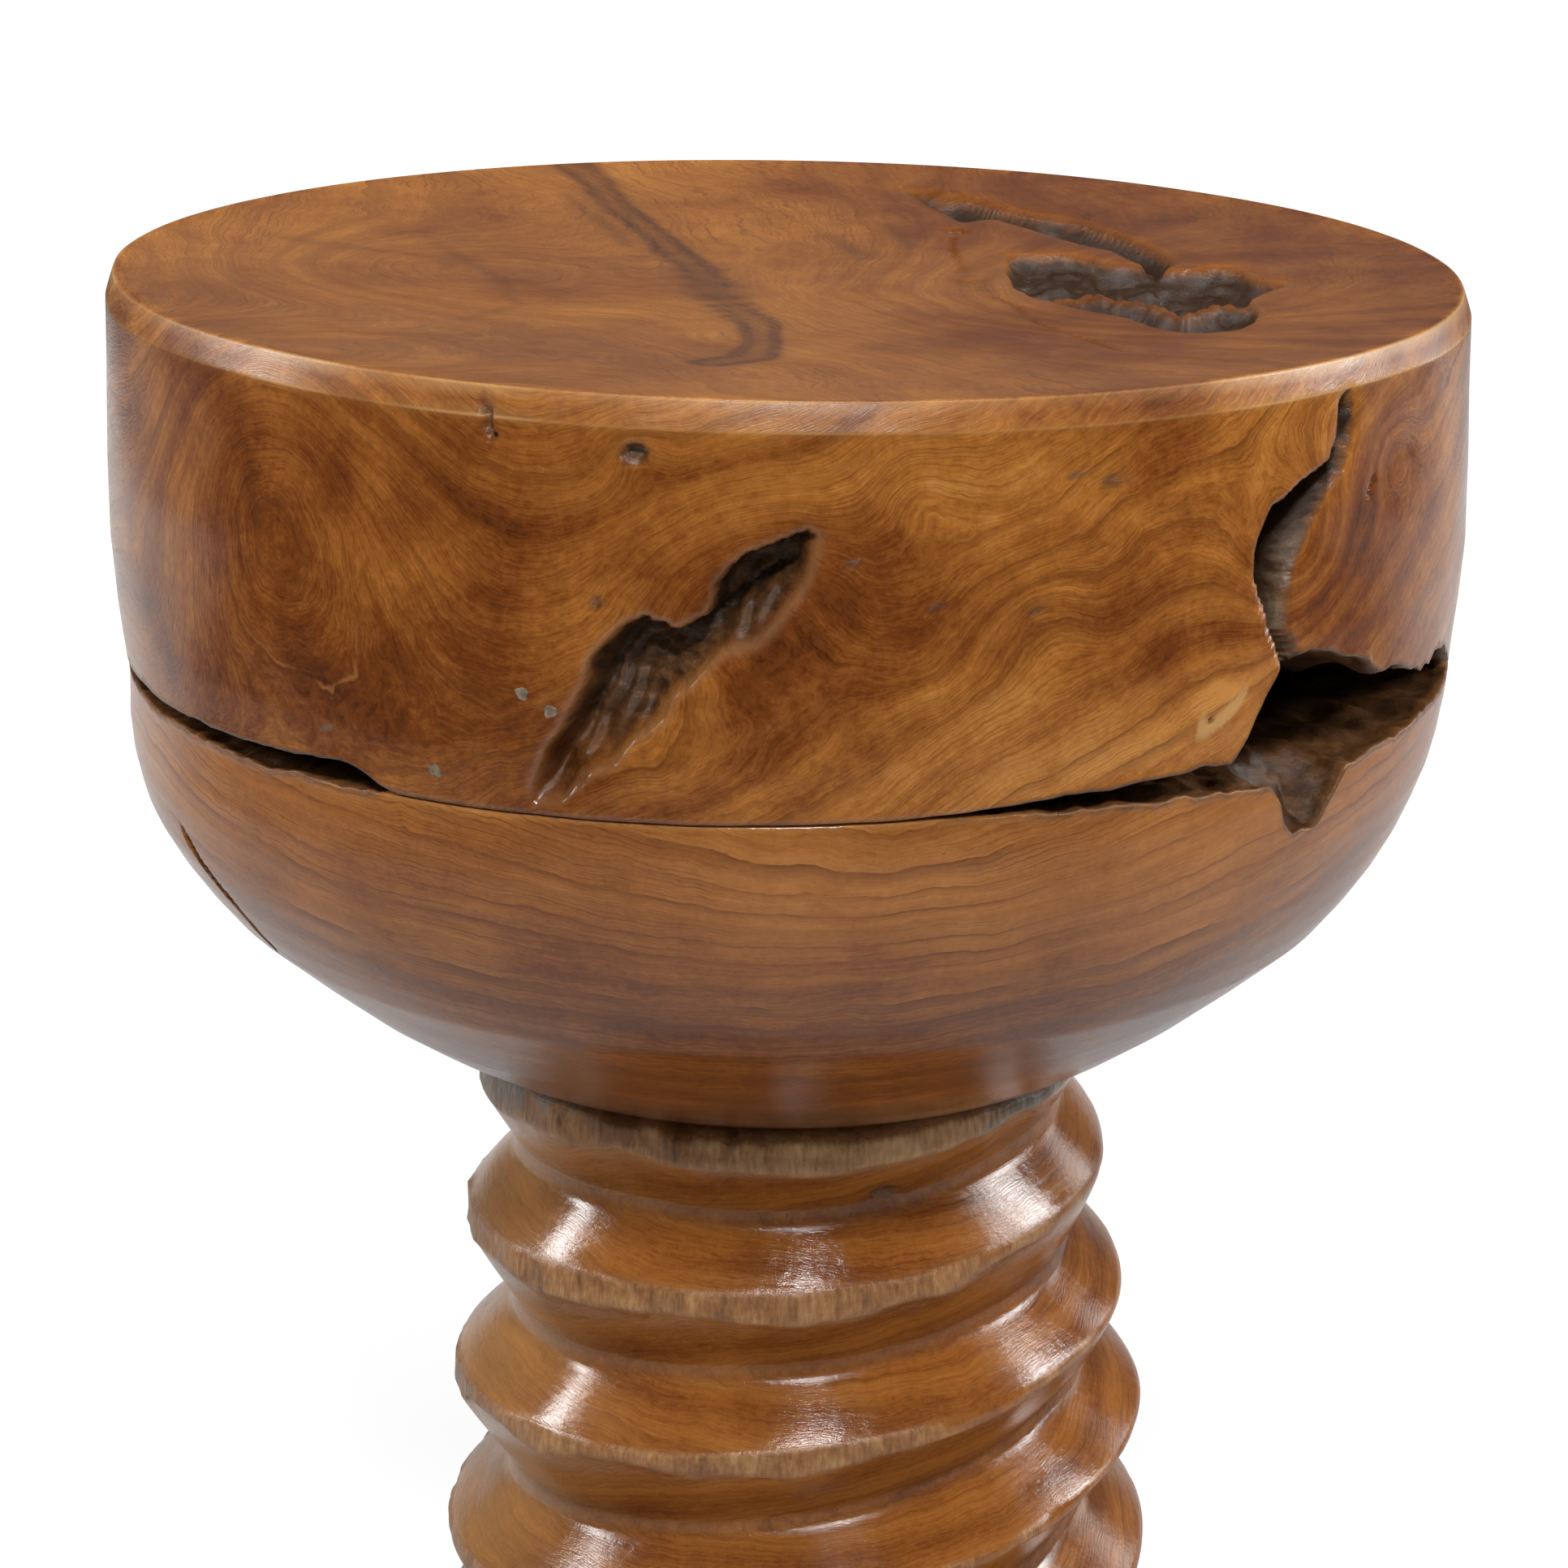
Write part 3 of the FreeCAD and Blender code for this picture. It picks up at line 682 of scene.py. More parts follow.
def bowl_rings(angles, edge):
    """Rings from the middle of the foot outwards, up the wall to the edge, and in again over the top."""
    rings = Rings(angles)
    for radius, stride in ((5, 8), (16, 8), (30, 4), (50, 4), (75, 2), (95, 2)):
        rings.add(radius, COLUMN_TOP, stride, UNDER)
    for share in np.linspace(0, 1, int(74 * FINE)):
        height = COLUMN_TOP + (edge - 0.6 - COLUMN_TOP) * share
        rings.add(table(SEAM - height, BOWL_PROFILE), height, 1, WALL)
    outer = table(SEAM - edge, BOWL_PROFILE)
    rings.add(outer - 0.5, edge - 0.15, 1, WALL)
    rings.add(outer - 1.2, edge, 1, WALL)
    # Inside the edge the top goes over to a level just under the slab, across the notch too
    at_notch = np.abs(angles - 45.4) <= 6.2
    inner = SEAM + np.where(at_notch, 0, table(angles, BOWL_EDGE)) - 3
    flat = np.minimum(SEAM - 0.05, np.maximum(edge, inner))
    for step in np.linspace(0, 1, int(22 * FINE))[1:]:
        inwards = 2 + 88 * step**1.3
        rings.add(214 - inwards, edge + (flat - edge) * smooth(4, 26, inwards), 1, LEVEL)
    for radius, stride in ((110, 2), (90, 2), (64, 4), (40, 4), (20, 8), (6, 8)):
        rings.add(radius, flat, stride, LEVEL)
    return rings.stacked()


def make_bowl(material):
    angles = spaced_angles(int(BOWL_ANGLES * FINE) // 8 * 8, BOWL_ZONES)
    circle = round_axis(angles, WALL_RADIUS, np.zeros(len(angles)))
    open_gap = smooth(1.5, 4, table(angles, SLAB_GAP))
    edge = SEAM + table(angles, BOWL_EDGE)
    edge = edge + open_gap * (0.9 * noise(circle, 9, 73, 2) + 0.5 * noise(circle, 3, 69))
    sizes, points, kind = bowl_rings(angles, edge)
    angle = angle_of(points)
    radius = radius_of(points)
    drop = TOP - points[:, 2]
    below_seam = SEAM - points[:, 2]

    side = kind == WALL
    slit = path_distance(arc_length(angle), drop, on_wall(BOWL_SLIT)) + 0.4 * noise(points, 8, 74)
    open_slit = fade(0.7, 2.2, slit) * side
    uneven = 0.9 * noise(points, 90, 75) + 0.25 * noise(points, 30, 76)
    leftward = np.maximum(0, -np.sin(np.radians(angle))) ** 2
    uneven = uneven + leftward * table(below_seam, LEFT_BULGE)
    carved = (radius - 12 * open_slit + uneven * smooth(0, 20, below_seam)) / radius
    scale_outwards(points, np.where(side, carved, 1))

    level = kind == LEVEL
    gap_here = np.interp(angle, angles, open_gap)
    edge_here = np.interp(angle, angles, edge)
    rough = level & (radius > 120)
    points[rough, 2] += np.minimum(0, 2.2 * noise(points[rough], 7, 77, 3) - 1.0) * gap_here[rough]
    notch = smooth(3, 9, SEAM - 3 - edge_here)
    below_edge = edge_here - points[:, 2]
    rag = gap_here * fade(0.2, 1.8, below_edge + 0.7 * noise(points, 4, 78))
    cavity = np.where(side, np.maximum(0.75 * rag, open_slit), np.where(level, 0.9, 0.0))
    cavity = np.where(level & (radius > 170), 0.95, cavity)
    # Darker towards the foot: partly the wood's redder brown low down, partly painted shade on the
    # underside that faces down
    lower_tone_and_shade = smooth(SEAM - 110, SEAM, points[:, 2]) - 0.6
    fields = {
        "growth": bowl_growth(points),
        "tone": 0.4 * noise(points, 60, 79, 2) + lower_tone_and_shade,
        "cavity": cavity,
        "lip": side * notch * bell(below_edge, 1.5),
        # Painted shade: the top under the slab darkens further in, and the open slit is darkened
        "shade": np.where(level, 0.35 + 0.65 * fade(150, 200, radius), 0.85 * open_slit),
        "pale_marks_and_sheen": 0.35 * side * fade(0.1, 1.5, below_edge) * (1 - gap_here),
    }
    piece = add_mesh("bowl_wood", points, ring_faces(sizes), fields, material)
    stand_for(piece, "bowl")


# The column, a log carved as a right-hand screw

PITCH = 54.0
CREST_BAND = 9.0
LOG_TOP = 103.0
LOG_FOOT = 136.0
FRONT_CREST = TOP - 264.0
TURNS = 8
TURNS_BELOW = 6
TURN_STEPS = int(300 * FINE)
ROWS = int(32 * FINE)
# By height over the rim: the groove's depth, how much of the bark band is left, and the thread's tilt
GROOVE_DEPTH = [-560, 21, -470, 22.5, -415, 21, -361, 17.5, -300, 14.5, -250, 13]
BARK_LEFT = [-560, 0.4, -426, 0.4, -372, 0.5, -330, 0.85, -300, 1.0]
THREAD_TILT = [
    -600, 0.0, -540, 0.02, -440, 0.095, -425, 0.095, -371, 0.018, -318, -0.04, -264, -0.05, -200, -0.05,
]
# How much of the bark band is left by angle
CREST_BARK = [
    -180, 0.4, -130, 0.8, -95, 1, -40, 1, 0, 0.95, 25, 0.7, 45, 0.4, 70, 0.2, 110, 0.15, 180, 0.4,
]


def thread_profile(phase, band):
    """Share of the groove's depth at a share of the pitch below a crest with a bark band of that height."""
    down = phase * PITCH
    root, half_root = 34.0, 2.4
    under = np.clip((down - band) / (root - half_root - band), 0, 1)
    over = np.clip((PITCH - down) / (PITCH - root - half_root), 0, 1)
    depth = np.where(down < root, under**1.08, over**1.18)
    return np.where(down < band, 0, depth)


def coil_faces(count):
    """Faces between the steps of the thread, each step a row of points down one pitch."""
    index = np.arange(count).reshape(-1, ROWS)
    faces = []
    for step in range(len(index) - 1):
        here, there = index[step].tolist(), index[step + 1].tolist()
        for row in range(ROWS - 1):
            faces.append((here[row], here[row + 1], there[row + 1], there[row]))
        # The last row of a turn meets the first row of the turn below
        if step >= TURN_STEPS:
            low, next_low = index[step - TURN_STEPS, 0], index[step - TURN_STEPS + 1, 0]
            faces.append((here[-1], int(low), int(next_low), there[-1]))
    return faces


def make_screw_column(material):
    steps = np.arange(TURN_STEPS * TURNS + 1)
    rows_down, angle = np.meshgrid(np.arange(ROWS) / ROWS, 360 * steps / TURN_STEPS)
    rows_down, angle = rows_down.ravel(), angle.ravel()
    height = FRONT_CREST + PITCH * (angle / 360 - TURNS_BELOW - rows_down) + CREST_BAND / 2
    over_rim = height - TOP
    front_angle = (angle + 180) % 360 - 180

    # The log, the bark left on its crests, and the groove between them
    first_turn = smooth(COLUMN_TOP - 34, COLUMN_TOP - 18, height)
    barked = np.maximum(table(front_angle, CREST_BARK) * table(over_rim, BARK_LEFT), first_turn)
    coil = round_axis(angle, 70, angle * 0.4)
    band = np.maximum(1.5, (CREST_BAND + 1.5 * first_turn) * barked + 3.0 * noise(coil, 17, 81, 2))
    log = LOG_TOP + (LOG_FOOT - LOG_TOP) * np.clip((COLUMN_TOP - height) / COLUMN_TOP, -0.2, 1.2)
    groove = thread_profile(rows_down, band)
    depth = groove * table(over_rim, GROOVE_DEPTH)
    raw = round_axis(angle, log, height)
    on_crest = fade(0.2, 1.3, depth)
    bark = on_crest * smooth(0.1, 0.45, barked + 0.25 * noise(raw, 18, 80, 2))
    upright = raw * np.array([1, 1, 0.16])
    ragged = 0.22 * noise(upright, 3.2, 84, 2) + 0.7 * noise(raw, 13, 85, 2)
    log = log + 2.2 * noise(raw, 85, 82) + 0.7 * noise(raw, 28, 83) * (1 - bark)
    rightward = np.maximum(0, np.sin(np.radians(angle))) ** 2
    log = log + 4 * rightward * bell(over_rim + 397, 45)
    radius = log - depth * (1 + 0.1 * noise(raw, 60, 86)) + bark * ragged
    tilted = height + table(over_rim, THREAD_TILT) * raw[:, 0] + 1.3 * noise(raw, 70, 87)

    # A ragged gap cut between the top of the log and the bowl, with painted shade darkening it
    gap_floor = COLUMN_TOP - 4.6 + 1.6 * noise(raw, 9, 90, 2)
    at_front = smooth(-75, -50, front_angle) * fade(60, 80, front_angle)
    gap = at_front * smooth(-1.0, 0.6, tilted - gap_floor)
    radius = radius - 7 * gap
    points = round_axis(angle, radius, tilted)

    knot = polar(19, 93, TOP - 286)
    knot_size = np.array([5.5, 5.5, 3.6])
    near = np.sqrt((((points - knot) / knot_size) ** 2).sum(axis=1))
    knot_mask = fade(0.5, 1.2, near)
    scale_outwards(points, 1 - 2.2 * knot_mask / radius)

    from_pith = np.hypot(points[:, 0] - 9, points[:, 1] + 6)
    left_side = fade(-75, -25, front_angle)
    right_patch = smooth(25, 50, front_angle) * first_turn
    front_patch = smooth(-30, 0, front_angle) * fade(30, 50, front_angle)
    below_band = rows_down * PITCH - band
    pale_crest_line = 0.5 * bell(below_band - 0.5, 0.8) * barked
    root_crease_shade = 0.2 * smooth(0.93, 1.0, groove)
    fields = {
        "growth": 1.5 * from_pith + 5 * noise(points, 60, 88) + 0.03 * points[:, 2],
        "tone": 0.3 * noise(points, 45, 89, 2) - 0.1,
        # Painted shade: the gap under the bowl and the groove's root take the hollow colour; the knot's
        # dark is its own
        "cavity": np.maximum(np.maximum(0.85 * knot_mask, gap), root_crease_shade),
        # Paler bark band at the front of the top turn: partly the bark's own paler tan, partly painted
        # light against the bowl's shadow
        "lip": bark * first_turn * front_patch,
        # Painted shade darkens the gap under the bowl
        "shade": gap,
        # Pale lines just below the bark band, and a painted sheen on the bare left flank
        "pale_marks_and_sheen": np.maximum(pale_crest_line, 0.45 * left_side * (1 - bark)),
        "bark": bark * (1 - gap),
        "grey": np.clip(np.maximum(left_side * (0.45 + 0.5 * first_turn), right_patch), 0, 1),
    }
    piece = add_mesh("screw_column_wood", points, coil_faces(len(points)), fields, material)
    saw_ends(piece, [0.0, COLUMN_TOP])
    stand_for(piece, "screw_column")


def saw_ends(piece, heights):
    """Saw the carved log level at both heights and close the cuts."""
    work = bmesh.new()
    work.from_mesh(piece.data)
    for height, outwards in zip(heights, (-1, 1)):
        cut = bmesh.ops.bisect_plane(
            work,
            geom=work.verts[:] + work.edges[:] + work.faces[:],
            plane_co=(0, 0, height * METRE),
            plane_no=(0, 0, outwards),
            clear_outer=True,
        )
        rim = [item for item in cut["geom_cut"] if isinstance(item, bmesh.types.BMEdge)]
        bmesh.ops.contextual_create(work, geom=rim)
    bmesh.ops.recalc_face_normals(work, faces=work.faces)
    for face in work.faces:
        face.smooth = len(face.verts) < 6
    work.to_mesh(piece.data)
    work.free()


# Nail heads in the slab wall

# Rings of a nail head from its foot to its crown: (share of its radius, height over the wood)
NAIL_RINGS = [(1.0, -1.2), (1.0, 0.15), (0.8, 0.55), (0.45, 0.75), (0.15, 0.8)]
NAIL_SUNK = 0.35
NAIL_TURNS = np.radians(np.arange(0, 360, 24))


def nail_points(angle, drop, size):
    """Points of one nail head, a little out of round."""
    middle = polar(angle, table(drop, WALL_PROFILE) - NAIL_SUNK, TOP - drop)
    outwards = polar(angle, 1, 0)
    sideways = np.array([-outwards[1], outwards[0], 0])
    upwards = np.array([0, 0, 1])
    points = []
    for share, lift in NAIL_RINGS:
        for turn in NAIL_TURNS:
            wobble = 1 + 0.14 * math.sin(3 * turn + angle) + 0.08 * math.sin(5 * turn)
            across = math.cos(turn) * sideways + math.sin(turn) * upwards
            points.append(middle + outwards * lift + size * share * wobble * across)
    return points


def make_nails(material):
    points, faces = [], []
    head_faces = ring_faces([len(NAIL_TURNS)] * len(NAIL_RINGS))
    for nail in NAILS:
        faces += [tuple(len(points) + corner for corner in face) for face in head_faces]
        points += nail_points(*nail)
    piece = add_mesh("seam_nails", np.array(points), faces, {}, material)
    stand_for(piece, None)


# Materials

# Sockets of a colour mix, which come after those for numbers and vectors
MIX_FIRST, MIX_SECOND, MIX_RESULT = 6, 7, 2


class Nodes:
    """Short hand for the nodes of a material or world: each call adds a node and gives its output."""

    def __init__(self, holder):
        self.holder = holder
        holder.use_nodes = True
        self.tree = holder.node_tree
        self.shader = self.tree.nodes.get("Principled BSDF")

    def plug(self, socket, source):
        if isinstance(source, bpy.types.NodeSocket):
            self.tree.links.new(source, socket)
        else:
            socket.default_value = source

    def node(self, kind, inputs, output=0, **settings):
        node = self.tree.nodes.new("ShaderNode" + kind)
        for name, amount in settings.items():
            setattr(node, name, amount)
        for name, source in inputs.items():
            self.plug(node.inputs[name], source)
        return node.outputs[output]

    def math(self, operation, first, second=0.0):
        return self.node("Math", {0: first, 1: second}, operation=operation)

    def times(self, first, second):
        return self.math("MULTIPLY", first, second)

    def add_share(self, total, part, amount):
        """The total plus some amount of a part."""
        return self.math("ADD", total, self.times(part, amount))

    def field(self, name):
        """A number that the mesh carries, which is 0 on a mesh without it."""
        return self.node("Attribute", {}, "Fac", attribute_name=name)

    def place(self):
        return self.node("TexCoord", {}, "Object")

    def ray(self, kind):
        """1 for rays of one kind and 0 for all others."""
        return self.node("LightPath", {}, f"Is {kind} Ray")

    def stretch(self, vector, scale):
        return self.node("Mapping", {"Vector": vector, "Scale": scale})

    def join(self, x, y, z):
        return self.node("CombineXYZ", {0: x, 1: y, 2: z})

    def add_vectors(self, first, second):
        return self.node("VectorMath", {0: first, 1: second})

    def noise(self, vector, scale, detail=2.0, rough=0.5):
        inputs = {"Vector": vector, "Scale": scale, "Detail": detail, "Roughness": rough}
        return self.node("TexNoise", inputs, "Fac")

    def line_noise(self, along, scale, detail=2.0):
        inputs = {"W": along, "Scale": scale, "Detail": detail}
        return self.node("TexNoise", inputs, "Fac", noise_dimensions="1D")

    def spread(self, source, low, high, to_low=0.0, to_high=1.0):
        """An S curve from one amount to another between two ends."""
        inputs = {"Value": source, "From Min": low, "From Max": high, "To Min": to_low, "To Max": to_high}
        return self.node("MapRange", inputs, "Result", interpolation_type="SMOOTHSTEP")

    def ramp(self, source, stops):
        node = self.tree.nodes.new("ShaderNodeValToRGB")
        self.plug(node.inputs["Fac"], source)
        points = node.color_ramp.elements
        while len(points) < len(stops):
            points.new(1.0)
        for point, (place, colour) in zip(points, stops):
            point.position = place
            point.color = (*colour, 1)
        return node.outputs["Color"]

    def blend(self, share, first, second):
        """A colour with a second one, which is a plain colour or a socket, laid over it by a share."""
        if not isinstance(second, bpy.types.NodeSocket):
            second = (*second, 1)
        inputs = {0: share, MIX_FIRST: first, MIX_SECOND: second}
        return self.node("Mix", inputs, MIX_RESULT, data_type="RGBA")

    def bump(self, height, strength, distance):
        return self.node("Bump", {"Strength": strength, "Distance": distance, "Height": height})

    def glow_over(self, share, below, strength):
        """A shader with white light laid over it by a share."""
        light = self.node("Emission", {"Strength": strength})
        return self.node("MixShader", {0: share, 1: below, 2: light})

    def finish(self, colour, roughness, normal, **constants):
        inputs = {"Base Color": colour, "Roughness": roughness, "Normal": normal}
        for name, source in (inputs | constants).items():
            self.plug(self.shader.inputs[name.replace("_", " ")], source)
        return self.holder


def new_material(name):
    return Nodes(bpy.data.materials.new(name))


# Colours of the wood that the three blocks share
STREAK_BROWN = (0.075, 0.024, 0.008)
PORE_BROWN = (0.06, 0.016, 0.004)
CHECK_TAN = (0.33, 0.13, 0.035)
PALE_MARK_AND_SHEEN_TAN = (0.5, 0.29, 0.11)
LIP_TAN = (0.27, 0.135, 0.058)
PAINTED_SHADE_BROWN = (0.022, 0.009, 0.003)
HOLLOW_TONES = [(0.3, (0.02, 0.009, 0.003)), (0.5, (0.09, 0.038, 0.013)), (0.72, (0.22, 0.11, 0.045))]
SAND_TONES = [(0.3, (0.05, 0.033, 0.02)), (0.55, (0.2, 0.14, 0.09)), (0.8, (0.4, 0.31, 0.22))]
RIND_TONES = [(0.32, (0.07, 0.026, 0.009)), (0.5, (0.25, 0.11, 0.036)), (0.68, (0.44, 0.25, 0.1))]
GREY_TONES = [(0.3, (0.03, 0.024, 0.02)), (0.5, (0.1, 0.075, 0.055)), (0.72, (0.27, 0.23, 0.19))]


def root_wood(name, tones, line_colour, ring_width, rings, lines, fibres, clouds, bark=False):
    """Varnished root wood: rings that follow the growth field, mottling, fibres, pores and hollows."""
    n = new_material(name)
    place = n.place()
    shifted = n.add_share(n.field("growth"), n.noise(place, 45, 3), 7.0)
    shifted = n.add_share(shifted, n.noise(place, 160, 2), 1.4)
    broad = n.line_noise(shifted, 0.09, 2)
    # Each year's wood ends in a dark line that fades into the next year's
    years = n.times(shifted, 1 / ring_width)
    years = n.add_share(years, n.line_noise(shifted, 0.35 / ring_width), 2.2)
    late_wood = n.math("POWER", n.math("SUBTRACT", 1.0, n.math("FRACT", years)), 5.0)
    dark_lines = n.times(late_wood, n.spread(n.line_noise(years, 0.7), 0.3, 0.56))
    hairs = n.spread(n.line_noise(shifted, 1.3, 3), 0.5, 0.64)
    across = n.join(n.times(shifted, 0.75), 0.0, 0.0)
    fibre = n.noise(n.add_vectors(n.stretch(place, (45, 45, 45)), across), 1.0, 4, 0.6)
    fine_across = n.join(0.0, n.times(shifted, 1.9), 0.0)
    fine_fibre = n.noise(n.add_vectors(n.stretch(place, (190, 190, 190)), fine_across), 1.0, 3, 0.65)
    cloud = n.noise(place, 30, 7, 0.66)
    small_mottle = n.noise(place, 420, 4, 0.7)

    figure = n.times(n.math("SUBTRACT", broad, 0.5), rings)
    patterns = ((fibre, fibres), (cloud, clouds), (fine_fibre, 0.5), (small_mottle, 0.34))
    for pattern, strength in patterns:
        figure = n.add_share(figure, n.math("SUBTRACT", pattern, 0.5), strength)
    vivid = n.spread(n.field("calm"), 0.0, 1.0, 1.0, 0.55)
    level = n.add_share(0.5, n.field("tone"), 0.4)
    level = n.add_share(level, figure, vivid)
    colour = n.ramp(level, tones)
    ring_share = n.times(dark_lines, n.spread(cloud, 0.34, 0.64, 0.05, lines))
    hair_patches = n.spread(n.noise(place, 26, 4), 0.36, 0.62, 0.0, 0.55 * lines)
    pores = n.times(n.spread(fine_fibre, 0.6, 0.7), n.spread(small_mottle, 0.42, 0.56))
    checks = n.spread(n.math("PINGPONG", shifted, 4.5), 0.0, 0.35, 1.0, 0.0)
    checks = n.times(checks, n.spread(n.noise(place, 90, 2), 0.42, 0.6))
    layers = [
        (n.times(ring_share, vivid), line_colour),
        (n.times(hairs, hair_patches), line_colour),
        (n.times(n.field("streak"), n.spread(fine_fibre, 0.25, 0.65, 0.5, 0.95)), STREAK_BROWN),
        (n.times(pores, 0.55), PORE_BROWN),
        (n.times(n.times(checks, n.field("check")), 0.7), CHECK_TAN),
        # Pale edge lines and sap, and the painted sheen on the log's left flank
        (n.times(n.field("pale_marks_and_sheen"), 0.7), PALE_MARK_AND_SHEEN_TAN),
        (n.times(n.field("lip"), 0.55), LIP_TAN),
    ]
    for share, layer_colour in layers:
        colour = n.blend(share, colour, layer_colour)

    cavity = n.field("cavity")
    grain_in = n.noise(n.stretch(place, (150, 150, 260)), 1.0, 7, 0.74)
    hollow = n.ramp(grain_in, HOLLOW_TONES)
    # Painted shade: where the shade field is set, the hollow colour is darkened towards a deep brown
    hollow = n.blend(n.times(n.field("shade"), 0.85), hollow, PAINTED_SHADE_BROWN)
    colour = n.blend(cavity, colour, hollow)
    colour = n.blend(n.field("sand_and_glints"), colour, n.ramp(grain_in, SAND_TONES))
    roughness = n.spread(fibre, 0.3, 0.75, 0.11, 0.22)
    roughness = n.add_share(roughness, cavity, 0.2)
    roughness = n.add_share(roughness, n.field("matte"), 0.2)
    height = n.add_share(n.times(fine_fibre, 0.5), small_mottle, -0.35)
    if bark:
        colour, roughness, height = lay_bark(n, place, colour, roughness, height)
    height = n.add_share(height, n.times(grain_in, cavity), 11.0)
    return n.finish(colour, roughness, n.bump(height, 0.32, 0.0006), Specular_IOR_Level=0.42)


def lay_bark(n, place, colour, roughness, height):
    """Thready bark, brown or grey, over the wood where the bark field says so."""
    share = n.field("bark")
    threads = n.noise(n.stretch(place, (600, 600, 110)), 1.0, 5, 0.65)
    patches = n.noise(place, 75, 6, 0.7)
    level = n.add_share(n.times(threads, 0.45), patches, 0.55)
    # The lip field on the log paints the bark paler: partly its own tan, partly painted light against the
    # bowl's shadow
    level = n.add_share(level, n.field("lip"), 0.07)
    greyness = n.math("ADD", n.field("grey"), n.spread(patches, 0.4, 0.7, -0.4, 0.4))
    rind = n.blend(n.spread(greyness, 0.2, 0.8), n.ramp(level, RIND_TONES), n.ramp(level, GREY_TONES))
    colour = n.blend(share, colour, rind)
    roughness = n.add_share(roughness, share, 0.25)
    height = n.add_share(height, n.times(threads, share), 3.0)
    return colour, roughness, height


def plain_wood(name, light, dark):
    """Bare turned wood of the hidden pins, with grain along them."""
    n = new_material(name)
    grain = n.noise(n.stretch(n.place(), (260, 260, 18)), 1.0, 4, 0.6)
    colour = n.ramp(grain, [(0.3, dark), (0.7, light)])
    return n.finish(colour, n.spread(grain, 0.3, 0.7, 0.5, 0.7), n.bump(grain, 0.3, 0.0004))


def worn_metal(name, light, dark, metallic, roughness):
    """Zinc or old nail iron, spotted and scratched."""
    n = new_material(name)
    spots = n.noise(n.place(), 420, 4, 0.65)
    colour = n.ramp(spots, [(0.35, dark), (0.65, light)])
    rough = n.spread(spots, 0.3, 0.7, roughness, roughness + 0.25)
    return n.finish(colour, rough, n.bump(spots, 0.4, 0.0003), Metallic=metallic)


def dress_frame_nodes():
    """Materials for the hidden pieces that the CAD shows as they are."""
    pins = plain_wood("bare_pin_wood", (0.5, 0.3, 0.13), (0.3, 0.15, 0.06))
    zinc = worn_metal("zinc_plate", (0.6, 0.59, 0.55), (0.34, 0.33, 0.3), 1.0, 0.3)
    for node, material in (("centre_tenon", pins), ("slab_dowels", pins), ("column_screws", zinc)):
        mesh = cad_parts[node].data
        mesh.materials.clear()
        mesh.materials.append(material)


SLAB_TONES = [
    (0.1, (0.06, 0.014, 0.002)), (0.32, (0.15, 0.038, 0.005)), (0.5, (0.245, 0.079, 0.012)),
    (0.66, (0.355, 0.127, 0.02)), (0.88, (0.5, 0.21, 0.045)),
]
BOWL_TONES = [
    (0.1, (0.07, 0.017, 0.004)), (0.32, (0.15, 0.041, 0.008)), (0.5, (0.235, 0.076, 0.014)),
    (0.68, (0.31, 0.11, 0.022)), (0.88, (0.4, 0.155, 0.036)),
]
COLUMN_TONES = [
    (0.1, (0.08, 0.02, 0.005)), (0.32, (0.165, 0.049, 0.009)), (0.5, (0.25, 0.085, 0.015)),
    (0.68, (0.32, 0.117, 0.022)), (0.88, (0.4, 0.156, 0.034)),
]


# Stage, light and camera

# Lamps as (name, place, target, width, height, power)
LAMPS = [
    ("overhead_box", (0.05, -0.2, 2.2), (0, 0, 0.45), 0.6, 0.4, 13),
    ("front_box", (0.02, -1.75, 2.05), (0, 0, 0.4), 0.4, 0.28, 38),
    ("right_box", (1.75, 0.22, 1.25), (0, 0, 0.3), 0.35, 0.7, 26),
    ("right_strip", (1.5, 0.95, 0.7), (0, 0, 0.5), 0.3, 0.7, 3),
    ("left_box", (-1.8, 0.2, 1.25), (0, 0, 0.3), 0.35, 0.6, 21),
]
# The camera sees white, the varnish a dim room, and everything else soft fill light
FILL_LIGHT = 0.3
RAY_LIGHT = [("Camera", 0.7), ("Transmission", 0.7), ("Glossy", -0.18)]
FLOOR_REACH = 30000.0
FLOOR_CORNERS = FLOOR_REACH * np.array([(-1, -1, 0), (1, -1, 0), (1, 1, 0), (-1, 1, 0)])
FLOOR_HEIGHT = -0.0005
FLOOR_MIDDLE = (0.0, 0.3, 0.0)


def add_area(name, place, target, width, height, power):
    light = bpy.data.lights.new(name, "AREA")
    light.shape = "RECTANGLE"
    light.size, light.size_y = width, height
    light.energy = power
    lamp = bpy.data.objects.new(name, light)
    bpy.context.collection.objects.link(lamp)
    lamp.location = place
    way = np.array(target) - np.array(place)
    flat = math.hypot(way[0], way[1])
    lamp.rotation_euler = (math.atan2(flat, -way[2]), 0, math.atan2(-way[0], way[1]))


def make_world():
    n = Nodes(bpy.data.worlds.new("studio"))
    bpy.context.scene.world = n.holder
    level = FILL_LIGHT
    for kind, change in RAY_LIGHT:
        level = n.add_share(level, n.ray(kind), change)
    background = n.tree.nodes["Background"]
    n.plug(background.inputs["Color"], (1.0, 1.0, 1.0, 1))
    n.plug(background.inputs["Strength"], level)


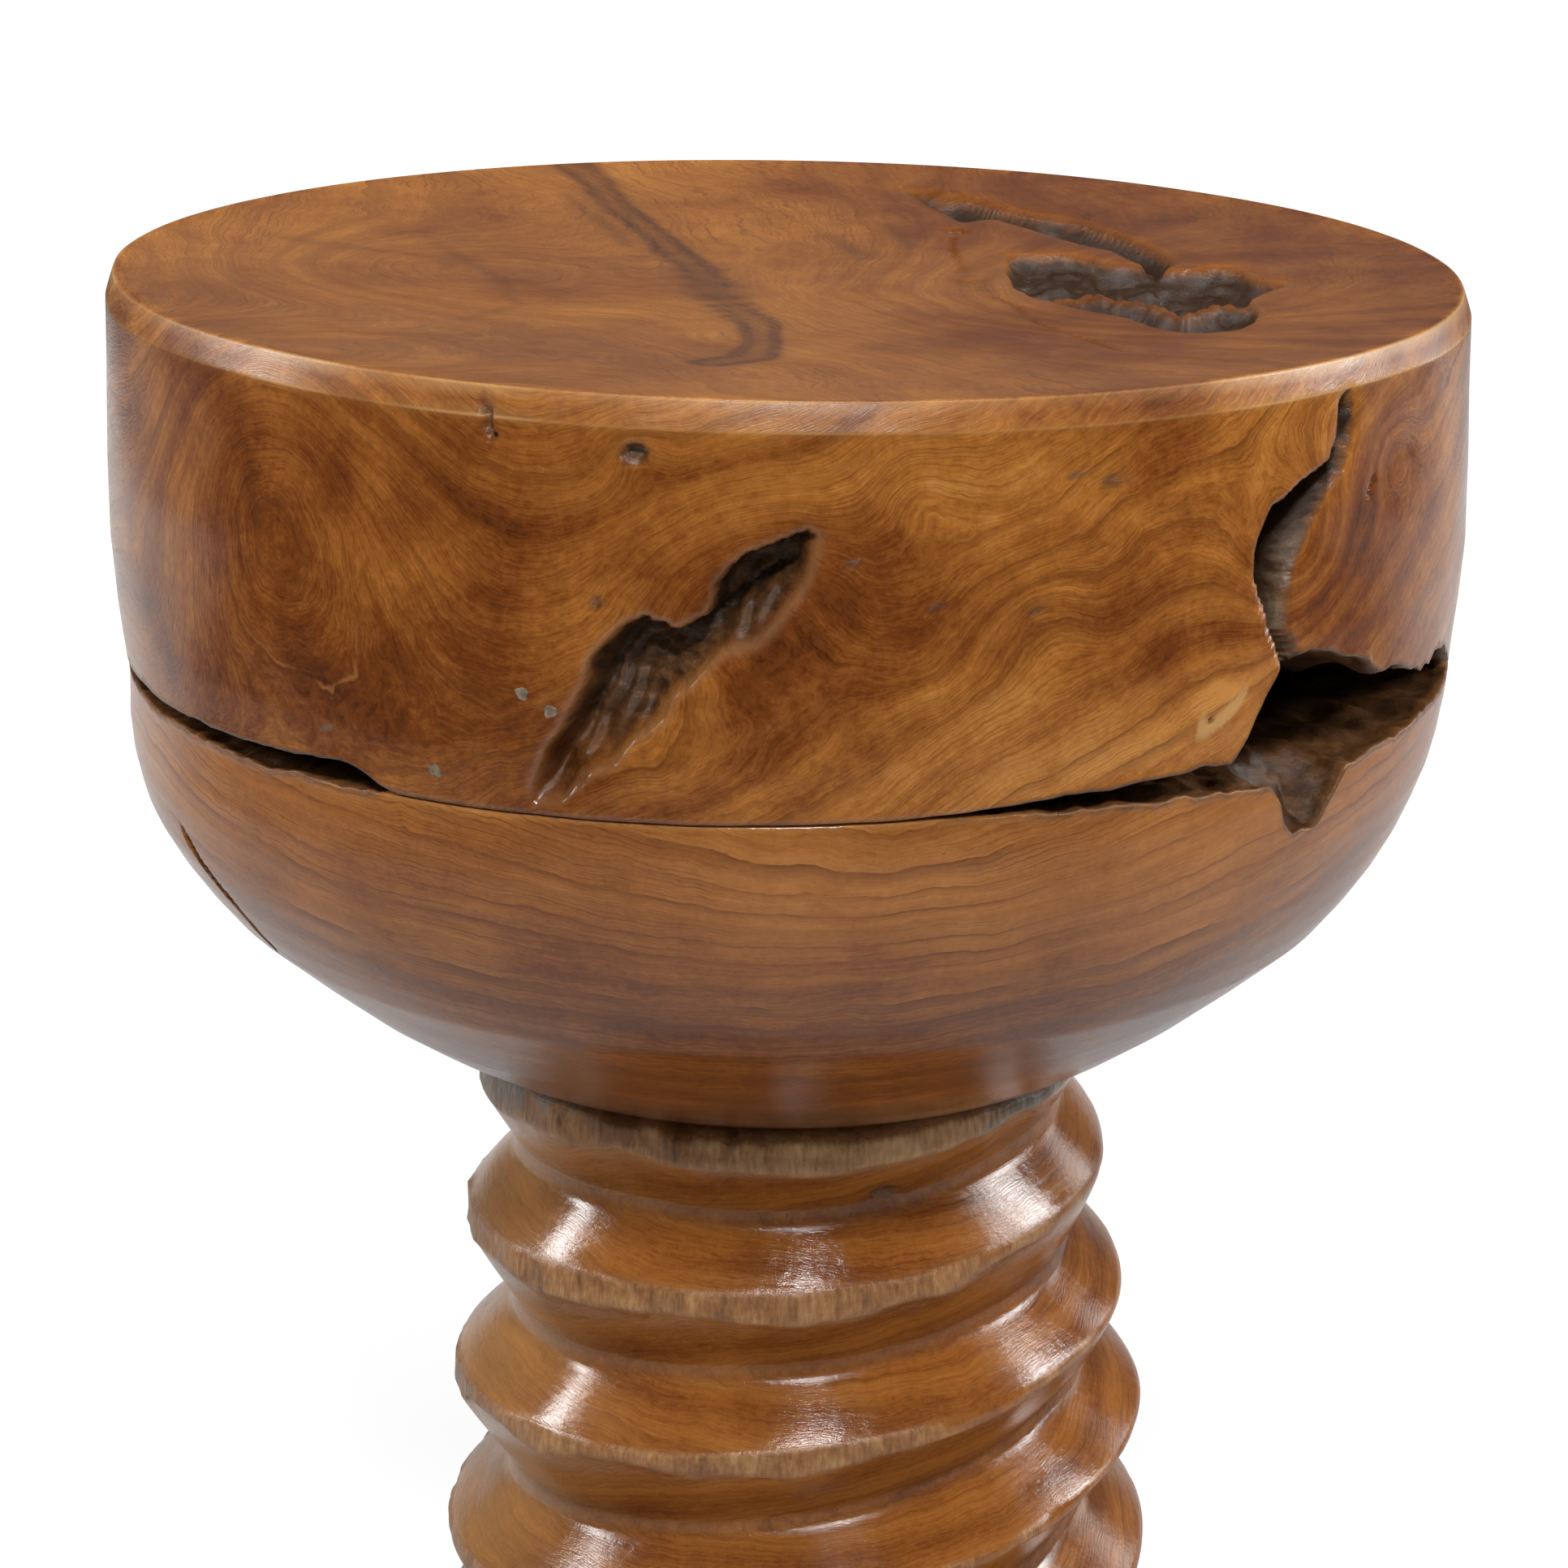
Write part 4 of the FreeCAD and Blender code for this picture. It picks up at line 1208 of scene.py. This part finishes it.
def floor_material():
    """Pale floor with a shadow, which the varnish mirrors as a pool of light in a dim room."""
    n = new_material("studio_floor")
    place = n.place()
    pale = n.ramp(n.noise(place, 3, 2), [(0.3, (0.48, 0.48, 0.48)), (0.7, (0.51, 0.51, 0.51))])
    constants = {"Base Color": pale, "Roughness": 0.8, "Specular IOR Level": 0.0}
    for name, source in constants.items():
        n.plug(n.shader.inputs[name], source)
    distance = n.node("VectorMath", {0: place, 1: FLOOR_MIDDLE}, "Value", operation="DISTANCE")
    mirrored = n.ray("Glossy")
    # Near the table the floor shows its shadow, further off it is the white of the backdrop
    seen = n.math("MAXIMUM", n.ray("Camera"), n.ray("Transmission"))
    white = n.times(seen, n.spread(distance, 0.2, 1.2, 0.7, 0.92))
    surface = n.glow_over(white, n.shader.outputs[0], 1.2)
    # The varnish mirrors a pool of light round the table, and beyond it a floor as dim as the room
    far = n.spread(distance, 0.95, 1.35)
    surface = n.glow_over(n.times(far, mirrored), surface, 0.1)
    # Behind the table the floor is bright, which pales the sides of the wood where it curves away
    back = n.spread(n.node("SeparateXYZ", {0: place}, "Y"), 0.4, 0.8)
    behind = n.times(back, n.spread(distance, 2.2, 3.2, 1.0, 0.0))
    surface = n.glow_over(n.times(behind, mirrored), surface, 0.75)
    n.plug(n.tree.nodes["Material Output"].inputs["Surface"], surface)
    return n.holder


def make_stage():
    bpy.context.scene.view_settings.view_transform = "Standard"
    make_world()
    floor = add_mesh("studio_floor", FLOOR_CORNERS, [(0, 1, 2, 3)], {}, floor_material())
    floor.location.z = FLOOR_HEIGHT
    for lamp in LAMPS:
        add_area(*lamp)


# The photograph's size, the lens and how far the picture is off its middle, in the photograph's pixels
IMAGE_SIZE = 1932
FOCAL_LENGTH = 4400
PICTURE_SHIFT = -6
SENSOR_WIDTH = 36
CAMERA_TILT = 18.374
CAMERA_PLACE = (0, -1.139, 0.7612)


def make_camera():
    """The photograph's camera: a long lens a little above the rim, tipped down."""
    data = bpy.data.cameras.new("photo_camera")
    data.sensor_width = SENSOR_WIDTH
    data.lens = SENSOR_WIDTH * FOCAL_LENGTH / IMAGE_SIZE
    data.shift_x = PICTURE_SHIFT / IMAGE_SIZE
    camera = bpy.data.objects.new("photo_camera", data)
    bpy.context.collection.objects.link(camera)
    camera.location = CAMERA_PLACE
    camera.rotation_euler = (math.radians(90 - CAMERA_TILT), 0, 0)
    bpy.context.scene.camera = camera


slab_material = root_wood(
    "varnished_root_wood", SLAB_TONES, (0.1, 0.027, 0.004),
    ring_width=10, rings=0.45, lines=0.72, fibres=0.26, clouds=0.95,
)
bowl_material = root_wood(
    "varnished_bowl_wood", BOWL_TONES, (0.095, 0.023, 0.004),
    ring_width=8, rings=0.35, lines=0.85, fibres=0.28, clouds=0.75,
)
column_material = root_wood(
    "varnished_carved_log", COLUMN_TONES, (0.1, 0.027, 0.006),
    ring_width=7, rings=0.35, lines=0.65, fibres=0.32, clouds=0.55, bark=True,
)
nail_material = worn_metal("old_nail_heads", (0.36, 0.28, 0.19), (0.12, 0.08, 0.045), 0.4, 0.25)
make_top_slab(slab_material)
make_bowl(bowl_material)
make_screw_column(column_material)
make_nails(nail_material)
dress_frame_nodes()
make_stage()
make_camera()
